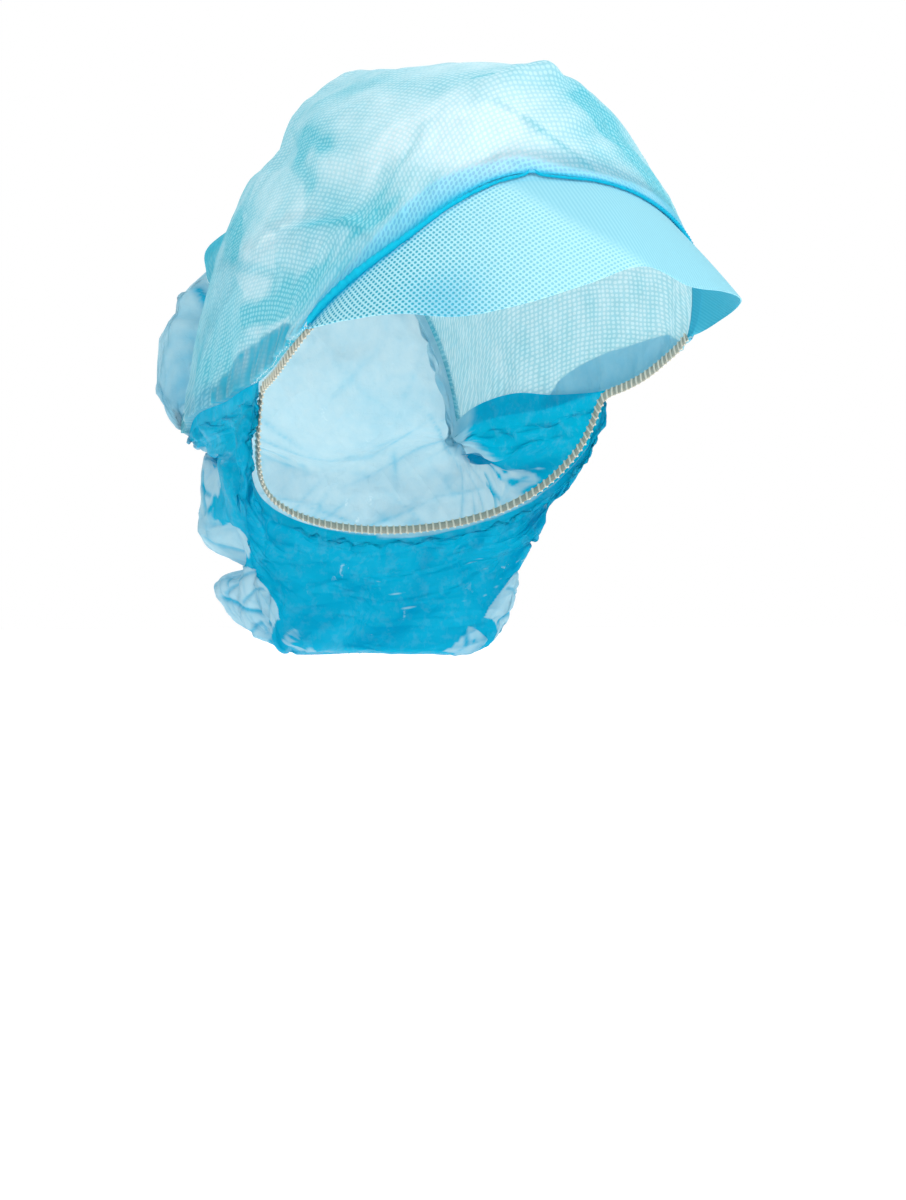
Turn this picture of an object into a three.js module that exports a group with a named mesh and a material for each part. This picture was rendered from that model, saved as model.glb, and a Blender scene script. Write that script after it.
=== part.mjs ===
import * as THREE from 'three';

// Peaked cap with hairnet in its worn form. Millimetres, +Z up, the peak points to -Y and the
// wearer's right side is -X. The origin is the middle of the head opening, level with the temples.

const crownWall = 1.2;
const peakWall = 1.2;
const netWall = 1.0;
const clearance = 0.4; // gap between neighbouring pieces
const seamGroove = 2.6; // height left between the crown's edge and the peak for the seam
const seamRadius = 0.85;
const allowanceHeight = 7.5; // turned-up edge of the peak inside the crown
const elasticWidth = 5;
const elasticThickness = 0.9;
const tuckSide = 6; // how far the hairnet reaches under the crown's edge
const halfAcross = 140; // length of the crown's sheet from its side edge to the middle
const fullAlong = 290; // length of the crown's sheet from the peak to the back
const earAlong = 0.46; // where the elastic leaves the crown's side edge

// Ribs of the crown from the peak seam to the back arch. Each one starts at the side edge, rises
// over the middle of the head and comes down on the other side.
const crownRibs = [
  { sideX: 85, sideY: -41, sideZ: -3.4, topY: -103, topZ: 49.5, fullness: 1.68 },
  { sideX: 85, sideY: -35, sideZ: -6, topY: -94, topZ: 64, fullness: 1.69 },
  { sideX: 84.5, sideY: -28, sideZ: -9, topY: -82, topZ: 80, fullness: 1.7 },
  { sideX: 84, sideY: -19, sideZ: -13, topY: -69, topZ: 93.5, fullness: 1.7 },
  { sideX: 82, sideY: -6, sideZ: -18, topY: -44, topZ: 97.5, fullness: 1.85 },
  { sideX: 79, sideY: 10, sideZ: -22, topY: -10, topZ: 100.5, fullness: 2.05 },
  { sideX: 77, sideY: 28, sideZ: -25, topY: 25, topZ: 101.8, fullness: 2.08 },
  { sideX: 74, sideY: 47, sideZ: -28.5, topY: 53.5, topZ: 103, fullness: 1.87 },
  { sideX: 71, sideY: 64, sideZ: -30, topY: 74, topZ: 101, fullness: 1.8 },
  { sideX: 68, sideY: 80, sideZ: -31.5, topY: 91, topZ: 86.5, fullness: 1.86 },
  { sideX: 65, sideY: 92, sideZ: -34, topY: 101, topZ: 67, fullness: 1.84 },
  { sideX: 62, sideY: 102, sideZ: -39, topY: 109, topZ: 46, fullness: 1.75 },
];

// How far the peak seam lies above (or below) the first rib, from the right temple to the left.
const seamLifts = [0, -0.8, 0, 2.8, 3.6, -0.5, -1, -0.5, -0.3, 0, 0].map((lift) => ({ lift }));

// Folds and dents of the crown: where they lie on the sheet (across -1 to 1, along 0 to 1), the
// turn of their long axis from the cap's front-to-back line in degrees, their half length and
// half width, and how far they rise.
const crownFolds = [
  { across: 0, along: 0.27, turn: 90, long: 14, wide: 8, rise: 2.5 },
  { across: -0.08, along: 0.68, turn: 90, long: 16, wide: 10, rise: 2 },
  { across: -0.47, along: 0.62, turn: 20, long: 30, wide: 11, rise: -4 },
  { across: -0.6, along: 0.34, turn: 0, long: 46, wide: 11, rise: -4 },
  { across: -0.72, along: 0.4, turn: 0, long: 50, wide: 7, rise: 2.5 },
  { across: -0.3, along: 0.8, turn: 40, long: 26, wide: 10, rise: -4 },
  { across: 0.0, along: 0.13, turn: 62, long: 42, wide: 7, rise: 2 },
  { across: 0.14, along: 0.15, turn: 58, long: 42, wide: 8, rise: -2.5 },
  { across: 0.55, along: 0.45, turn: 0, long: 40, wide: 13, rise: -3 },
  { across: 0.42, along: 0.75, turn: -40, long: 26, wide: 10, rise: -4 },
  { across: -0.48, along: 0.945, turn: 0, long: 13, wide: 8, rise: 11 },
];

// Gathers of the crown: waves along the elastic at its sides and the ruffle of its back edge.
const sideGathers = { waves: 8, depth: 1.1, fade: 14 };
const backRuffle = { waves: 9, depth: 4.5, flare: 3, fade: 12 };

// Lower edge of the peak by the angle round the forehead (0 front, -90 the wearer's right).
const peakCentreY = -41;
const peakHalfWidth = 85;
const peakReach = 99; // from the temples' line to the front of the edge
const peakEdge = [
  { angle: -90, height: -4.8 },
  { angle: -75, height: -2.6 },
  { angle: -60, height: -1.1 },
  { angle: -45, height: -2.7 },
  { angle: -30, height: 1.6 },
  { angle: -15, height: 8.7 },
  { angle: 0, height: 15.7 },
  { angle: 15, height: 9.3 },
  { angle: 30, height: 8.6 },
  { angle: 45, height: 7.7 },
  { angle: 60, height: 6.1 },
  { angle: 75, height: 2.5 },
  { angle: 90, height: -2.5 },
];
const peakSwell = 1; // how far the peak bows up between its seam and its edge
const peakEndAngle = 83;

// The nape edge of the hairnet, from the ear to the middle of the nape.
const napeEdge = [
  { x: 75, y: 22, z: -45 },
  { x: 62, y: 40, z: -64 },
  { x: 36, y: 51, z: -75 },
  { x: 0, y: 55, z: -79 },
];

// Sections of the hairnet from the crown's edge down to its closed end. Each one is a loop through
// the middle of the back, the puff's shoulder, the crown's corner, the ear, the jaw and the nape.
const netColumns = ['back', 'shoulder', 'corner', 'ear', 'jaw', 'nape'];
const netSections = [
  {
    back: [0, 124, 34], shoulder: [53, 123.5, 20], corner: [61, 100, -41],
    ear: [78, 15, -33], jaw: [61, 44, -69], nape: [0, 57, -83],
  },
  {
    back: [0, 134, 8], shoulder: [61, 120, 0], corner: [60, 97, -42.5],
    ear: [77, 21, -40], jaw: [60, 46, -73], nape: [0, 59, -86],
  },
  {
    back: [0, 133, -18], shoulder: [62, 118, -19], corner: [58, 92, -45],
    ear: [76, 27, -46], jaw: [59, 47, -77], nape: [0, 60, -89],
  },
  {
    back: [0, 119, -41], shoulder: [60, 113, -33], corner: [56, 87, -48],
    ear: [74, 33, -52], jaw: [57, 48, -80], nape: [0, 61, -92],
  },
  {
    back: [0, 106, -50], shoulder: [48, 94, -43], corner: [60, 80, -50],
    ear: [72, 38, -59], jaw: [55, 49, -84], nape: [0, 62, -95],
  },
  {
    back: [0, 108, -62], shoulder: [53, 96, -61], corner: [66, 78, -63],
    ear: [69, 43, -67], jaw: [53, 50, -88], nape: [0, 62, -98],
  },
  {
    back: [0, 104, -76], shoulder: [54, 96, -80], corner: [66, 80, -80],
    ear: [65, 47, -76], jaw: [50, 51, -93], nape: [0, 61, -102],
  },
  {
    back: [0, 94, -88], shoulder: [39, 80, -89.5], corner: [51, 64, -90.5],
    ear: [60, 49, -87], jaw: [46, 51, -99], nape: [0, 60, -107],
  },
  {
    back: [0, 100, -96], shoulder: [50, 92, -95.5], corner: [60, 71, -96.5],
    ear: [58, 50, -97], jaw: [44, 51, -106], nape: [0, 59, -112],
  },
  {
    back: [0, 98, -108], shoulder: [47, 88, -109], corner: [57, 71, -110],
    ear: [55, 51, -109], jaw: [42, 51, -114], nape: [0, 58, -118],
  },
  {
    back: [0, 90, -116], shoulder: [41, 85, -115.5], corner: [50, 69, -116],
    ear: [47, 54, -121], jaw: [36, 53, -123], nape: [0, 59, -123],
  },
  {
    back: [0, 71.5, -125], shoulder: [17, 71.5, -125], corner: [28, 69, -126],
    ear: [31, 66.5, -126.5], jaw: [18, 69.5, -126.5], nape: [0, 70, -126],
  },
];
const netStarts = [-tuckSide, 1, 4]; // reach of its first rows from the crown's edge
const netSplit = 0.3; // turn from the middle of the back to where its two panels meet
const netGap = 1.2; // between the edges of the panels, on the turn of the section
const netEarGap = 5; // the same at the ear, where the sections turn back sharply
const netFolds = { waves: 11, depth: 3 };

function spline(a, b, c, d, t) {
  const first = (c - a) * t;
  const second = (2 * a - 5 * b + 4 * c - d) * t * t;
  const third = (3 * b - a - 3 * c + d) * t * t * t;
  return 0.5 * (2 * b + first + second + third);
}

function column(rows, name, share) {
  const place = share * (rows.length - 1);
  const i = THREE.MathUtils.clamp(Math.floor(place), 0, rows.length - 2);
  const at = (k) => rows[THREE.MathUtils.clamp(k, 0, rows.length - 1)][name];
  return spline(at(i - 1), at(i), at(i + 1), at(i + 2), place - i);
}

function fade(distance, reach) {
  return Math.exp(-((distance / reach) ** 2));
}

// The smooth form of the crown's sheet: across -1 to 1 from right side to left, along 0 to 1.
function crownForm(across, along) {
  const rib = (name) => column(crownRibs, name, along);
  const turn = (across * Math.PI) / 2;
  const power = rib('fullness');
  const sine = Math.sin(turn);
  const cosine = Math.cos(turn);
  const radius = (Math.abs(sine) ** power + Math.abs(cosine) ** power) ** (-1 / power);
  const up = radius * cosine;
  return new THREE.Vector3(
    rib('sideX') * radius * sine,
    rib('sideY') + (rib('topY') - rib('sideY')) * up,
    rib('sideZ') + (rib('topZ') - rib('sideZ')) * up,
  );
}

function normalOf(surface, u, v, step = 0.002) {
  const du = surface(u + step, v).sub(surface(u - step, v));
  const dv = surface(u, v + step).sub(surface(u, v - step));
  return du.cross(dv).normalize();
}

// How far along the sheet a place lies that is a distance in millimetres from the peak seam.
function alongFor(across, distance) {
  const step = 0.01;
  const lift = column(seamLifts, 'lift', (across + 1) / 2);
  return ((distance + lift) * step) / crownForm(across, step).distanceTo(crownForm(across, 0));
}

function crownOffset(across, along, out) {
  return crownForm(across, along).addScaledVector(normalOf(crownForm, across, along), out);
}

function foldRise(across, along) {
  let rise = 0;
  for (const fold of crownFolds) {
    const turn = THREE.MathUtils.degToRad(fold.turn);
    const x = (across - fold.across) * halfAcross;
    const y = (along - fold.along) * fullAlong;
    const lengthwise = y * Math.cos(turn) + x * Math.sin(turn);
    const sideways = x * Math.cos(turn) - y * Math.sin(turn);
    rise += fold.rise * fade(lengthwise, fold.long) * fade(sideways, fold.wide);
  }
  return rise * THREE.MathUtils.smoothstep(along, 0.07, 0.16);
}

function gatherRise(across, along) {
  const fromSide = (1 - Math.abs(across)) * halfAcross;
  const fromBack = (1 - along) * fullAlong;
  const clearOfSeam = 1 - fade(along * fullAlong, 26);
  const side = sideGathers.depth * (1 + Math.sin(2 * Math.PI * sideGathers.waves * along));
  const wave = 0.5 + 0.5 * Math.cos(2 * Math.PI * backRuffle.waves * across);
  const raised = THREE.MathUtils.smoothstep(1 - Math.abs(across), 0.38, 0.56);
  const back = raised * (backRuffle.flare + backRuffle.depth * wave);
  return side * clearOfSeam * fade(fromSide, sideGathers.fade) + back * fade(fromBack, backRuffle.fade);
}

function crownPoint(across, along) {
  return crownOffset(across, along, foldRise(across, along) + gatherRise(across, along));
}

// The peak: a share below 0 is its turned-up edge inside the crown, 0 the seam and 1 the free edge.
function peakPoint(angle, share) {
  const across = angle / 90;
  const inside = -(crownWall / 2 + clearance + peakWall / 2);
  if (share < 0) {
    const taper = 0.35 + 0.65 * Math.cos(THREE.MathUtils.degToRad(angle));
    return crownOffset(across, alongFor(across, -share * taper * allowanceHeight), inside);
  }
  const turn = THREE.MathUtils.degToRad(angle);
  const seam = crownOffset(across, alongFor(across, 0), inside);
  const edge = new THREE.Vector3(
    peakHalfWidth * Math.sin(turn),
    peakCentreY - peakReach * Math.cos(turn),
    column(peakEdge, 'height', (angle + 90) / 180),
  );
  const bow = 4 * peakSwell * share * (1 - share) * Math.cos(turn);
  const point = seam.lerp(edge, share);
  point.z += bow;
  point.y -= 0.6 * bow;
  return point;
}

const napeCurve = (() => {
  const ear = crownForm(-1, earAlong);
  const right = napeEdge.map((p) => new THREE.Vector3(-p.x, p.y, p.z));
  const left = right.slice(0, -1).reverse().map((p) => new THREE.Vector3(-p.x, p.y, p.z));
  const farEar = new THREE.Vector3(-ear.x, ear.y, ear.z);
  return new THREE.CatmullRomCurve3([ear, ...right, ...left, farEar], false, 'centripetal');
})();

// The line where the hairnet starts, by the half turn from the middle of the back (0) to the
// nape (1). A reach below 0 lies under the crown and a reach above 0 beyond its edge.
function netStart(half, reach) {
  const inside = -(crownWall / 2 + clearance + netWall / 2);
  const acrossEnd = -1 - reach / halfAcross;
  const alongEnd = 1 + reach / fullAlong;
  if (half <= 0.4) {
    return crownOffset((acrossEnd * half) / 0.4, alongEnd, inside);
  }
  if (half <= 0.6) {
    const along = THREE.MathUtils.lerp(alongEnd, earAlong, (half - 0.4) / 0.2);
    return crownOffset(acrossEnd, along, inside);
  }
  const point = napeCurve.getPoint(((half - 0.6) / 0.4) * 0.5);
  const blend = THREE.MathUtils.smoothstep(half, 0.6, 0.66);
  const start = crownOffset(acrossEnd, earAlong, inside);
  point.z -= 0.4 * (reach + tuckSide);
  return start.lerp(point, blend);
}

function loopPoint(section, half) {
  const right = netColumns.map((name) => section[name]);
  const mirror = (p) => [-p[0], p[1], p[2]];
  const points = [mirror(right[1]), ...right, mirror(right[4])];
  const place = half * 5;
  const i = Math.min(Math.floor(place), 4);
  const [a, b, c, d] = points.slice(i, i + 4);
  const value = (k) => spline(a[k], b[k], c[k], d[k], place - i);
  return new THREE.Vector3(-value(0), value(1), value(2));
}

function netForm(round, down) {
  const turn = round - Math.floor(round);
  const half = turn < 0.5 ? 2 * turn : 2 * (1 - turn);
  const rows = netSections.length + netStarts.length;
  const place = down * (rows - 1);
  const i = THREE.MathUtils.clamp(Math.floor(place), 0, rows - 2);
  const row = (k) => {
    const n = THREE.MathUtils.clamp(k, 0, rows - 1);
    const section = n - netStarts.length;
    return section < 0 ? netStart(half, netStarts[n]) : loopPoint(netSections[section], half);
  };
  const [a, b, c, d] = [row(i - 1), row(i), row(i + 1), row(i + 2)];
  const value = (k) => spline(a[k], b[k], c[k], d[k], place - i);
  const side = turn < 0.5 ? 1 : -1;
  return new THREE.Vector3(side * value('x'), value('y'), value('z'));
}

function netPoint(round, down) {
  const begin = THREE.MathUtils.smoothstep(down, 0.14, 0.32);
  const end = 1 - THREE.MathUtils.smoothstep(down, 0.8, 1);
  const slow = 0.6 + 0.4 * Math.sin(2 * Math.PI * (2 * round + 1.7 * down));
  const wave = Math.sin(2 * Math.PI * (netFolds.waves * round + 0.5 * Math.sin(7 * down)));
  const out = netFolds.depth * begin * end * slow * wave;
  return netForm(round, down).addScaledVector(normalOf(netForm, round, down), out);
}

// One panel of the hairnet between two turns, set back from its neighbour at both sides.
function netPanel(from, to) {
  const step = 0.01;
  const setBack = (turn, down) => {
    const span = netForm(turn + step, down).distanceTo(netForm(turn - step, down));
    const atEar = THREE.MathUtils.lerp(netEarGap, netGap, THREE.MathUtils.smoothstep(down, 0, 0.4));
    return (atEar * step) / span;
  };
  return (u, v) => netPoint(THREE.MathUtils.lerp(from + setBack(from, v), to - setBack(to, v), u), v);
}

// A closed wall of even thickness round a sheet given by a function of two shares.
function sheetWall(surface, columns, rows, thickness) {
  const points = [];
  const faces = [];
  const across = columns + 1;
  const layer = across * (rows + 1);
  for (const side of [0.5, -0.5]) {
    for (let j = 0; j <= rows; j += 1) {
      for (let i = 0; i < across; i += 1) {
        const u = i / columns;
        const v = j / rows;
        const normal = normalOf(surface, u, v);
        points.push(surface(u, v).addScaledVector(normal, side * thickness));
      }
    }
  }
  const at = (side, i, j) => side * layer + j * across + i;
  const quad = (a, b, c, d) => faces.push(a, b, c, a, c, d);
  for (let j = 0; j < rows; j += 1) {
    for (let i = 0; i < columns; i += 1) {
      quad(at(0, i, j), at(0, i + 1, j), at(0, i + 1, j + 1), at(0, i, j + 1));
      quad(at(1, i, j), at(1, i, j + 1), at(1, i + 1, j + 1), at(1, i + 1, j));
    }
  }
  for (let i = 0; i < columns; i += 1) {
    quad(at(0, i + 1, 0), at(0, i, 0), at(1, i, 0), at(1, i + 1, 0));
    quad(at(0, i, rows), at(0, i + 1, rows), at(1, i + 1, rows), at(1, i, rows));
  }
  for (let j = 0; j < rows; j += 1) {
    quad(at(0, 0, j), at(0, 0, j + 1), at(1, 0, j + 1), at(1, 0, j));
    quad(at(0, columns, j + 1), at(0, columns, j), at(1, columns, j), at(1, columns, j + 1));
  }
  const geometry = new THREE.BufferGeometry();
  const places = points.flatMap((p) => p.toArray());
  geometry.setAttribute('position', new THREE.Float32BufferAttribute(places, 3));
  geometry.setIndex(faces);
  geometry.computeVertexNormals();
  return geometry;
}

// A bar swept along rings of corner points, closed at both ends.
function sweptBar(rings) {
  const corners = rings[0].length;
  const faces = [];
  rings.slice(1).forEach((ring, n) => {
    for (let k = 0; k < corners; k += 1) {
      const a = n * corners + k;
      const b = n * corners + ((k + 1) % corners);
      faces.push(a, b + corners, b, a, a + corners, b + corners);
    }
  });
  const last = (rings.length - 1) * corners;
  for (let k = 1; k < corners - 1; k += 1) {
    faces.push(0, k, k + 1, last, last + k + 1, last + k);
  }
  const geometry = new THREE.BufferGeometry();
  const points = rings.flat().flatMap((p) => p.toArray());
  geometry.setAttribute('position', new THREE.Float32BufferAttribute(points, 3));
  geometry.setIndex(faces);
  geometry.computeVertexNormals();
  return geometry;
}

function crownSheet(u, v) {
  const across = 2 * u - 1;
  const first = alongFor(across, seamGroove);
  return crownPoint(across, first + v * (1 - first));
}

function peakSheet(u, v) {
  const angle = THREE.MathUtils.lerp(-peakEndAngle, peakEndAngle, u);
  const seamAt = 0.75; // share of the rows that lie on the free part
  return peakPoint(angle, v < seamAt ? 1 - v / seamAt : -(v - seamAt) / (1 - seamAt));
}

function seamRings(steps, corners) {
  const rings = [];
  for (let n = 0; n <= steps; n += 1) {
    const across = THREE.MathUtils.lerp(-0.93, 0.93, n / steps);
    const along = alongFor(across, seamGroove * 0.44);
    const out = normalOf(crownForm, across, along);
    const centre = crownForm(across, along).addScaledVector(out, 0.35);
    const up = crownForm(across, along + 0.01).sub(crownForm(across, along)).normalize();
    const ring = [];
    for (let k = 0; k < corners; k += 1) {
      const turn = (2 * Math.PI * k) / corners;
      const point = centre.clone();
      point.addScaledVector(out, seamRadius * Math.cos(turn));
      point.addScaledVector(up, seamRadius * Math.sin(turn));
      ring.push(point);
    }
    rings.push(ring);
  }
  return rings;
}

// Middle line of the elastic: inside the crown's side edge, then round the nape.
function elasticRings(sideSteps, napeSteps) {
  const line = [];
  const startAlong = 0.05;
  for (let n = 0; n < sideSteps; n += 1) {
    const share = n / sideSteps;
    const along = THREE.MathUtils.lerp(startAlong, earAlong, share);
    const inside = -THREE.MathUtils.lerp(1.9, 2.9, share);
    line.push({ place: crownOffset(-1.004, along, inside), out: normalOf(crownForm, -1, along) });
  }
  for (let n = 0; n <= napeSteps; n += 1) {
    const place = napeCurve.getPoint((0.5 * n) / napeSteps);
    const out = new THREE.Vector3(place.x, 0.4 * place.y, -12).normalize();
    const firstOut = normalOf(crownForm, -1, earAlong);
    const blend = THREE.MathUtils.smoothstep(n / napeSteps, 0, 0.3);
    const facing = firstOut.lerp(out, blend).normalize();
    line.push({ place: place.addScaledVector(facing, -2.9), out: facing });
  }
  const mirror = (p) => new THREE.Vector3(-p.x, p.y, p.z);
  const left = line.slice(0, -1).reverse().map((s) => ({ place: mirror(s.place), out: mirror(s.out) }));
  const whole = [...line, ...left];
  return whole.map((s, n) => {
    const before = whole[Math.max(n - 1, 0)].place;
    const after = whole[Math.min(n + 1, whole.length - 1)].place;
    const run = after.clone().sub(before).normalize();
    const up = run.clone().cross(s.out).normalize();
    const flat = up.clone().cross(run).normalize();
    const corner = (a, b) => {
      const point = s.place.clone();
      point.addScaledVector(flat, (a * elasticThickness) / 2);
      return point.addScaledVector(up, (b * elasticWidth) / 2);
    };
    return [corner(1, -1), corner(-1, -1), corner(-1, 1), corner(1, 1)];
  });
}

const group = new THREE.Group();

function addPiece(name, geometry, color, roughness) {
  const material = new THREE.MeshStandardMaterial({ color, roughness, metalness: 0 });
  const mesh = new THREE.Mesh(geometry, material);
  mesh.name = name;
  group.add(mesh);
}

addPiece('crown', sheetWall(crownSheet, 44, 26, crownWall), '#b4e4ee', 0.8);
addPiece('peak', sheetWall(peakSheet, 44, 8, peakWall), '#9fe2f2', 0.75);
addPiece('peak_seam', sweptBar(seamRings(60, 6)), '#1fa8d6', 0.7);
addPiece('elastic', sweptBar(elasticRings(12, 24)), '#9db0a8', 0.9);
const backPanel = netPanel(-netSplit, netSplit);
const napePanel = netPanel(netSplit, 1 - netSplit);
addPiece('hairnet_back', sheetWall(backPanel, 42, 16, netWall), '#2fb0d4', 0.55);
addPiece('hairnet_nape', sheetWall(napePanel, 24, 12, netWall), '#2fb0d4', 0.55);

export default group;
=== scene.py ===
import bpy
import math
import numpy as np
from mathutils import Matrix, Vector


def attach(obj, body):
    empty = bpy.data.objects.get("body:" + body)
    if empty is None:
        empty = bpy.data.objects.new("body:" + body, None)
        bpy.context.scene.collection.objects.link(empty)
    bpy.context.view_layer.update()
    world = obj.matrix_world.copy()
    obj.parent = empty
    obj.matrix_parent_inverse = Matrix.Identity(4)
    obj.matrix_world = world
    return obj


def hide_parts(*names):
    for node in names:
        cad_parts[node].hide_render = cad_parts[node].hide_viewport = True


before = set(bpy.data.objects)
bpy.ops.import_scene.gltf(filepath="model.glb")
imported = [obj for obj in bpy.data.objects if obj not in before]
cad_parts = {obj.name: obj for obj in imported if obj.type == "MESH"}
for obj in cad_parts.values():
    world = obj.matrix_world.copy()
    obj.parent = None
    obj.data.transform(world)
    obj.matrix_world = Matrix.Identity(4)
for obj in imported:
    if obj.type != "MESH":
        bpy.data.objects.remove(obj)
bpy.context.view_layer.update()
mm = 0.001  # the tables below are in millimetres
tau = 2 * math.pi
mirror = np.array([-1, 1, 1])  # from the right side to the left
# patterns are drawn longer from front to back than they are, so that they show on the sides
patternScale = np.array([1, 0.65, 1])
print("frame loaded")


def hexLinear(code):
    parts = [int(code[k:k + 2], 16) / 255 for k in (1, 3, 5)]
    linear = [p / 12.92 if p <= 0.04045 else ((p + 0.055) / 1.055) ** 2.4 for p in parts]
    return (*linear, 1.0)


# Adds a node. Settings with a small first letter are its own, the others go to its inputs: a value, a colour
# as a hex code, or what is linked there, where a node stands for its first output in use.
def addNode(tree, kind, settings):
    node = tree.nodes.new(kind)
    for key, value in settings.items():
        if isinstance(key, str) and key[0].islower():
            setattr(node, key, value)
            continue
        if isinstance(value, bpy.types.Node):
            value = next(socket for socket in value.outputs if socket.enabled)
        if isinstance(value, bpy.types.NodeSocket):
            tree.links.new(value, node.inputs[key])
        else:
            isColour = isinstance(value, str) and value.startswith("#")
            node.inputs[key].default_value = hexLinear(value) if isColour else value
    return node


def addObject(name, data):
    piece = bpy.data.objects.new(name, data)
    bpy.context.collection.objects.link(piece)
    return piece


def newMaterial(name):
    material = bpy.data.materials.new(name)
    material.use_nodes = True
    material.node_tree.nodes.clear()
    return material, material.node_tree


def catmullRom(a, b, c, d, t):
    second = 2 * a - 5 * b + 4 * c - d
    third = 3 * b - a - 3 * c + d
    return 0.5 * (2 * b + (c - a) * t + second * t**2 + third * t**3)


# Smooth curve through the rows of a table.
def splineAt(table, share):
    table = np.asarray(table, float)
    place = np.asarray(share, float) * (len(table) - 1)
    i = np.clip(np.floor(place).astype(int), 0, len(table) - 2)
    rows = (table[np.clip(i + k, 0, len(table) - 1)] for k in (-1, 0, 1, 2))
    return catmullRom(*rows, (place - i)[..., None])


def curveAt(values, share):
    return splineAt(np.array(values)[:, None], share)[..., 0]


def smoothstep(x, low, high):
    t = np.clip((np.asarray(x, float) - low) / (high - low), 0, 1)
    return t * t * (3 - 2 * t)


def fade(distance, reach):
    return np.exp(-((distance / reach) ** 2))


def unit(v):
    return v / np.maximum(np.linalg.norm(v, axis=-1, keepdims=True), 1e-9)


def normalAt(surface, u, v, step=0.002):
    du = surface(u + step, v) - surface(u - step, v)
    dv = surface(u, v + step) - surface(u, v - step)
    return unit(np.cross(du, dv))


# Smooth uneven ripples of one size, from a few crossing waves.
def ripples(x, y, size, seed, count=14):
    rng = np.random.default_rng(seed)
    total = 0
    for _ in range(count):
        turn, phase = rng.uniform(0, tau, 2)
        rate = tau / (size * rng.uniform(0.7, 1.4))
        total = total + np.sin(rate * (x * math.cos(turn) + y * math.sin(turn)) + phase)
    return total * math.sqrt(2 / count)


# Cloth coordinates from the lengths of the grid lines, measured from the middle column and one row.
def gridLengths(points, row):
    across = np.linalg.norm(np.diff(points, axis=1, prepend=points[:, :1]), axis=-1).cumsum(1)
    along = np.linalg.norm(np.diff(points, axis=0, prepend=points[:1]), axis=-1).cumsum(0)
    middle = points.shape[1] // 2
    return np.stack([across - across[:, middle:middle + 1], along - along[row:row + 1]], -1)


# Lays a grid of points flat with its edge lengths kept, for the pattern of the cloth.
def layFlat(points, start, rounds=500, coarse=46, ease=0.22):
    rows, columns = points.shape[:2]
    pickRows = np.linspace(0, rows - 1, coarse).round().astype(int)
    pickColumns = np.linspace(0, columns - 1, coarse).round().astype(int)
    solid = points[np.ix_(pickRows, pickColumns)]
    plane = start[np.ix_(pickRows, pickColumns)].copy()
    whole, less, more = slice(None), slice(None, -1), slice(1, None)
    pairs = [
        ((whole, less), (whole, more)),
        ((less, whole), (more, whole)),
        ((less, less), (more, more)),
        ((less, more), (more, less)),
    ]
    for _ in range(rounds):
        for a, b in pairs:
            rest = np.linalg.norm(solid[b] - solid[a], axis=-1, keepdims=True)
            span = plane[b] - plane[a]
            length = np.linalg.norm(span, axis=-1, keepdims=True)
            push = ease * span * (1 - rest / np.maximum(length, 1e-6))
            plane[a] += push
            plane[b] -= push
    down = np.empty((rows, coarse, 2))
    flat = np.empty((rows, columns, 2))
    for k in range(2):
        for c in range(coarse):
            down[:, c, k] = np.interp(np.arange(rows), pickRows, plane[:, c, k])
        for r in range(rows):
            flat[r, :, k] = np.interp(np.arange(columns), pickColumns, down[r, :, k])
    return flat


def sheetObject(name, points, material, flat=None, closed=False, values=None):
    rows, columns = points.shape[:2]
    index = np.arange(rows * columns).reshape(rows, columns)
    if closed:
        index = np.concatenate([index, index[:, :1]], 1)
    corners = [index[:-1, :-1], index[:-1, 1:], index[1:, 1:], index[1:, :-1]]
    faces = np.stack(corners, -1).reshape(-1, 4)
    mesh = bpy.data.meshes.new(name)
    mesh.from_pydata((points.reshape(-1, 3) * mm).tolist(), [], faces.tolist())
    if flat is not None:
        loops = np.empty(len(mesh.loops), int)
        mesh.loops.foreach_get("vertex_index", loops)
        layer = mesh.uv_layers.new(name="cloth")
        layer.data.foreach_set("uv", flat.reshape(-1, 2)[loops].ravel())
    for key, value in (values or {}).items():
        field = np.broadcast_to(value, (rows, columns)).ravel().astype(np.float32)
        mesh.attributes.new(key, "FLOAT", "POINT").data.foreach_set("value", field)
    mesh.polygons.foreach_set("use_smooth", np.ones(len(mesh.polygons), bool))
    mesh.materials.append(material)
    return addObject(name, mesh)


# The film's upper edge inside the crown's sides, between two places along them.
facingCut = {
    "from": 0.17,
    "to": 0.66,
    "depth": 11,
    "blunt": 0.02,
    "under": 0.8,
    "steps": (70, 12),
    # its own tone on the right and left, and how far it shows through the crown there
    "tone": (0.7, 0.35),
    "shows": (0.9, 0.5),
    "edge": (-1, 0.3),
    # even and uneven part of what shows, size of the unevenness and its seed
    "uneven": (0.75, 0.25, 12, 15),
}


def facingDepth(along):
    start, end = facingCut["from"], facingCut["to"]
    away = (along - (start + end) / 2) / ((end - start) / 2)
    return facingCut["depth"] * np.sqrt(np.clip(1 + facingCut["blunt"] - away**2, 0, 1))


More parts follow.
